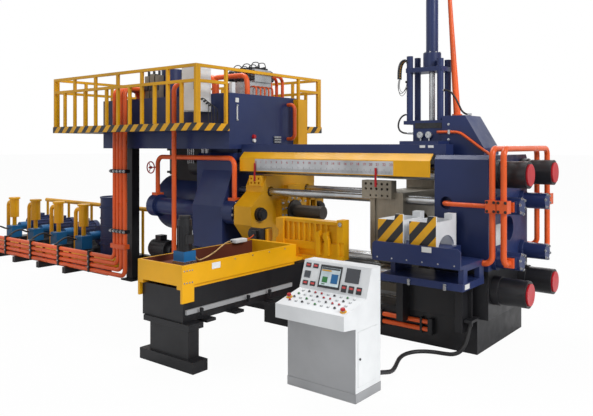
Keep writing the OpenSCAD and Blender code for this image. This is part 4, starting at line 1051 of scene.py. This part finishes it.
def loader_details():
    low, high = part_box("loader_carriage")
    side = high[0]
    bolts = Detail("loader_bolts", steel, "machined_steel", LOADER_BODY)
    for k in range(4):
        for z in (0.93, 1.06):
            bolts.bolt((side, low[1] + 0.03 + 0.037 * k, z), ALONG, LOADER_BOLT)
    for k in range(4):
        bolts.bolt((side, -2.4 + 0.3 * k, 1.09), ALONG, LOADER_BOLT)
    roller_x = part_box("loader_trough")[1][0] - 0.045
    bolts.rod((roller_x, -1.162, ROLLER_Z), (roller_x, -1.12, ROLLER_Z), 0.056, sides=28)
    bolts.rod((roller_x, -1.172, ROLLER_Z), (roller_x, -1.16, ROLLER_Z), 0.024)
    bolts.done()
    box = Detail("loader_connector_box", white_paint, "white_paint", LOADER_BODY)
    box.box(*LEAD_BOX, 0.006)
    box.box((side, -2.77, 1.025), (side + PLATE_T, -2.64, 1.095), 0.001)
    box.done()
    motor_start = Vector(MOTOR_LEAD_POINTS[0])
    servo_start = Vector(SERVO_LEAD_POINTS[0])
    glands = Detail("loader_glands", plastic, "black_paint", LOADER_BODY)
    glands.rod(motor_start - NEAR * 0.025, motor_start, GLAND_D)
    glands.rod(servo_start + NEAR * 0.025, servo_start, GLAND_D)
    glands.rod((-0.01, -1.2, 1.165), (-0.014, -1.212, 1.161), GLAND_D)
    glands.box((0.565, -2.96, 1.3), (0.6, -2.86, 1.4))
    glands.done()
    hose("loader_lead_motor", MOTOR_LEAD_POINTS, MOTOR_LEAD_D, tan_rubber, body=LOADER_BODY)
    hose("loader_lead_servo", SERVO_LEAD_POINTS, SERVO_LEAD_D, orange_paint, LOADER_BODY)


# Crosshead: rod nuts, framed slot and the bolts around the stem

ARM_FACE_X = -0.35
SLOT_Y = (0.4, 0.6)
SLOT_Z = (1.2, 1.56)
SLOT_BAR = 0.04
SLOT_DEPTH = 0.08
HEAD_BOLT = 0.026


def head_details():
    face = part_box("crosshead")[1][0]
    slot_back = ARM_FACE_X - 0.002
    slot_front = ARM_FACE_X + SLOT_DEPTH
    nuts = Detail("head_rod_nuts", black_paint, "black_paint", HEAD_BODY)
    for side in (-1, 1):
        seat = Vector((ARM_FACE_X, side * SIDE_ROD_Y, AXIS_Z))
        nuts.rod(seat, seat + ALONG * 0.055, 0.2, sides=36)
        nuts.rod(seat + ALONG * 0.054, seat + ALONG * 0.095, 0.17, sides=6)
    # The black plate inside the slot frame is painted shade, standing in for the dark inside of the slot.
    nuts.box((slot_back, SLOT_Y[0] + SLOT_BAR, SLOT_Z[0] + SLOT_BAR),
             (ARM_FACE_X + PLATE_T, SLOT_Y[1] - SLOT_BAR, SLOT_Z[1] - SLOT_BAR), 0.001)
    nuts.done()
    slot_frame = Detail("head_slot_frame", yellow_paint, "yellow_paint", HEAD_BODY)
    for y in (SLOT_Y[0], SLOT_Y[1] - SLOT_BAR):
        slot_frame.box((slot_back, y, SLOT_Z[0]), (slot_front, y + SLOT_BAR, SLOT_Z[1]))
    for z in (SLOT_Z[0], SLOT_Z[1] - SLOT_BAR):
        slot_frame.box((slot_back, SLOT_Y[0], z), (slot_front, SLOT_Y[1], z + SLOT_BAR))
    slot_frame.done()
    ring = Detail("stem_ring_bolts", steel, "machined_steel", HEAD_BODY)
    ring.bolt_ring((face, 0, AXIS_Z), ALONG, 0.205, 12, HEAD_BOLT)
    for side in (-1, 1):
        for z in (1.25, 1.34, 1.43, 1.52):
            ring.bolt((face, side * 0.275, z), ALONG, HEAD_BOLT)
    ring.done()


# Pump bank: hoses over the suction pipe, clamps on the risers and rings on the drum

PUMP_COUNT = 4
PUMP_PITCH = 0.92
PUMP_PORT_X = -5.59
PUMP_PORT_Z = 0.5
PUMP_HOSE_D = 0.036
RUN_PORT_Z = 0.46
RISER_Y = -1.0
RISER_X = (-3.45, -3.165)
RISER_PITCH = 0.095
RISER_COUNT = 5
CLAMP_HALF = 0.055
RUN_CLAMP_X = -8.2
RUN_CLAMP_COUNT = 5
RUN_CLAMP_PITCH = 1.0
RUN_CLAMP_W = 0.05
RUN_CLAMP_Z = (0.114, 0.5)
RING_Z = (0.42, 0.78, 1.14)
RING_H = 0.03
RING_RISE = 0.01


def pump_hoses():
    pump_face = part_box("pumps")[0][1]
    stubs = Detail("pump_hose_ends", steel, "machined_steel")
    for k in range(PUMP_COUNT):
        x = PUMP_PORT_X - PUMP_PITCH * k
        end = x + 0.1
        stubs.rod((x, pump_face + 0.01, PUMP_PORT_Z), (x, pump_face - 0.03, PUMP_PORT_Z), 0.05, sides=6)
        stubs.rod((end, RISER_Y + 0.02, RUN_PORT_Z), (end, RISER_Y + CLAMP_HALF, RUN_PORT_Z), 0.046, sides=6)
        hose(f"pump_hose_{k}", [
            (x, pump_face - 0.028, PUMP_PORT_Z), (x, pump_face - 0.07, 0.503),
            (x + 0.01, pump_face - 0.13, 0.53), (x + 0.03, -0.58, 0.56), (x + 0.05, -0.7, 0.55),
            (x + 0.08, -0.82, 0.505), (end, -0.89, 0.467), (end, -0.948, RUN_PORT_Z),
        ], PUMP_HOSE_D)
    stubs.done()


def drum_rings():
    low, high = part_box("oil_drum")
    x = (low[0] + high[0]) / 2
    y = (low[1] + high[1]) / 2
    diameter = high[0] - low[0] + 2 * RING_RISE
    rings = Detail("drum_rings", navy_paint, "navy_paint")
    for z in RING_Z:
        rings.rod((x, y, z), (x, y, z + RING_H), diameter, sides=48)
    rings.done()


def pump_details():
    pump_hoses()
    near = RISER_Y - CLAMP_HALF
    far = RISER_Y + CLAMP_HALF
    block = Detail("riser_block", orange_paint, "orange_paint")
    block.box((RISER_X[0] - 0.06, near, 0.62), (RISER_X[1] + 0.06, far, 0.7), 0.006)
    block.done()
    drum_rings()
    clamps = Detail("riser_clamps", black_paint, "black_paint")
    bolts = Detail("riser_clamp_bolts", steel, "machined_steel")
    for z in (0.92, 1.95):
        clamps.box((RISER_X[0] - 0.07, near, z - 0.03), (RISER_X[1] + 0.07, far, z + 0.03))
        for k in range(RISER_COUNT):
            bolts.bolt((RISER_X[0] - 0.048 + RISER_PITCH * k, near, z), NEAR, 0.034)
    for k in range(RUN_CLAMP_COUNT):
        x = RUN_CLAMP_X + RUN_CLAMP_PITCH * k
        clamps.box((x, near, RUN_CLAMP_Z[0]), (x + RUN_CLAMP_W, far, RUN_CLAMP_Z[1]))
        for z in (0.21, 0.305, 0.4):
            bolts.bolt((x + RUN_CLAMP_W / 2, near, z), NEAR, 0.022)
    clamps.done()
    bolts.done()


pump_details()
loader_details()
head_details()
shear_details()
drag_chain()
scale_marks()
console_face()
tank_front()
tank_top()
valve_block()
control_box_details()
press_details()


# Floor, background and light

FLOOR_HALF = 150
FLOOR_DROP = 0.003
FLOOR_WHITE_SHARE = 0.965
SKY_STRENGTH = 0.38


def stage_floor():
    """A pale floor that takes shadows and looks nearly white to the camera."""
    mesh = bpy.data.meshes.new("floor")
    corners = [(x * FLOOR_HALF, y * FLOOR_HALF, 0) for x, y in ((-1, -1), (1, -1), (1, 1), (-1, 1))]
    mesh.from_pydata(corners, [], [(0, 1, 2, 3)])
    floor = placed("floor", mesh)
    floor.location.z = -FLOOR_DROP
    material = bpy.data.materials.new("pale_floor")
    material.use_nodes = True
    tree = material.node_tree
    link = tree.links.new
    base = tree.nodes["Principled BSDF"]
    base.inputs["Base Color"].default_value = (0.86, 0.86, 0.86, 1)
    base.inputs["Roughness"].default_value = 0.9
    base.inputs["Specular IOR Level"].default_value = 0.1
    glow = tree.nodes.new("ShaderNodeEmission")
    mix = tree.nodes.new("ShaderNodeMixShader")
    path = tree.nodes.new("ShaderNodeLightPath")
    seen = tree.nodes.new("ShaderNodeMath")
    seen.operation = "MULTIPLY"
    seen.inputs[1].default_value = FLOOR_WHITE_SHARE
    link(path.outputs["Is Camera Ray"], seen.inputs[0])
    link(seen.outputs["Value"], mix.inputs["Fac"])
    link(base.outputs["BSDF"], mix.inputs[1])
    link(glow.outputs["Emission"], mix.inputs[2])
    link(mix.outputs["Shader"], tree.nodes["Material Output"].inputs["Surface"])
    mesh.materials.append(material)


def background():
    """Soft light from all sides, before a plain white backdrop."""
    world = bpy.data.worlds.new("studio")
    bpy.context.scene.world = world
    world.use_nodes = True
    tree = world.node_tree
    link = tree.links.new
    soft = tree.nodes["Background"]
    soft.inputs["Color"].default_value = (0.95, 0.97, 1.0, 1)
    soft.inputs["Strength"].default_value = SKY_STRENGTH
    plain = tree.nodes.new("ShaderNodeBackground")
    plain.inputs["Color"].default_value = (1, 1, 1, 1)
    path = tree.nodes.new("ShaderNodeLightPath")
    either = tree.nodes.new("ShaderNodeMath")
    either.operation = "MAXIMUM"
    any_of = tree.nodes.new("ShaderNodeMath")
    any_of.operation = "MAXIMUM"
    link(path.outputs["Is Camera Ray"], either.inputs[0])
    link(path.outputs["Is Glossy Ray"], either.inputs[1])
    link(either.outputs["Value"], any_of.inputs[0])
    link(path.outputs["Is Transmission Ray"], any_of.inputs[1])
    mix = tree.nodes.new("ShaderNodeMixShader")
    link(any_of.outputs["Value"], mix.inputs["Fac"])
    link(soft.outputs["Background"], mix.inputs[1])
    link(plain.outputs["Background"], mix.inputs[2])
    link(mix.outputs["Shader"], tree.nodes["World Output"].inputs["Surface"])


def lamp(name, place, target, size, power):
    """A round area light that faces its target."""
    data = bpy.data.lights.new(name, "AREA")
    data.shape = "DISK"
    data.size = size
    data.energy = power
    piece = placed(name, data)
    piece.location = place
    piece.rotation_euler = (Vector(target) - Vector(place)).to_track_quat("-Z", "Y").to_euler()


stage_floor()
background()
lamp("key_light", (13.0, -3.5, 9.0), (0.0, 0, 1.2), 5, 1040)
lamp("fill_light", (0.0, -13.0, 7.0), (-1.0, 0, 1.2), 7, 120)
lamp("top_light", (-4.0, 1.0, 12.0), (-2.0, 0, 1.0), 7, 800)
lamp("back_light", (-3.0, 13.0, 7.0), (-1.0, 0, 1.2), 7, 320)
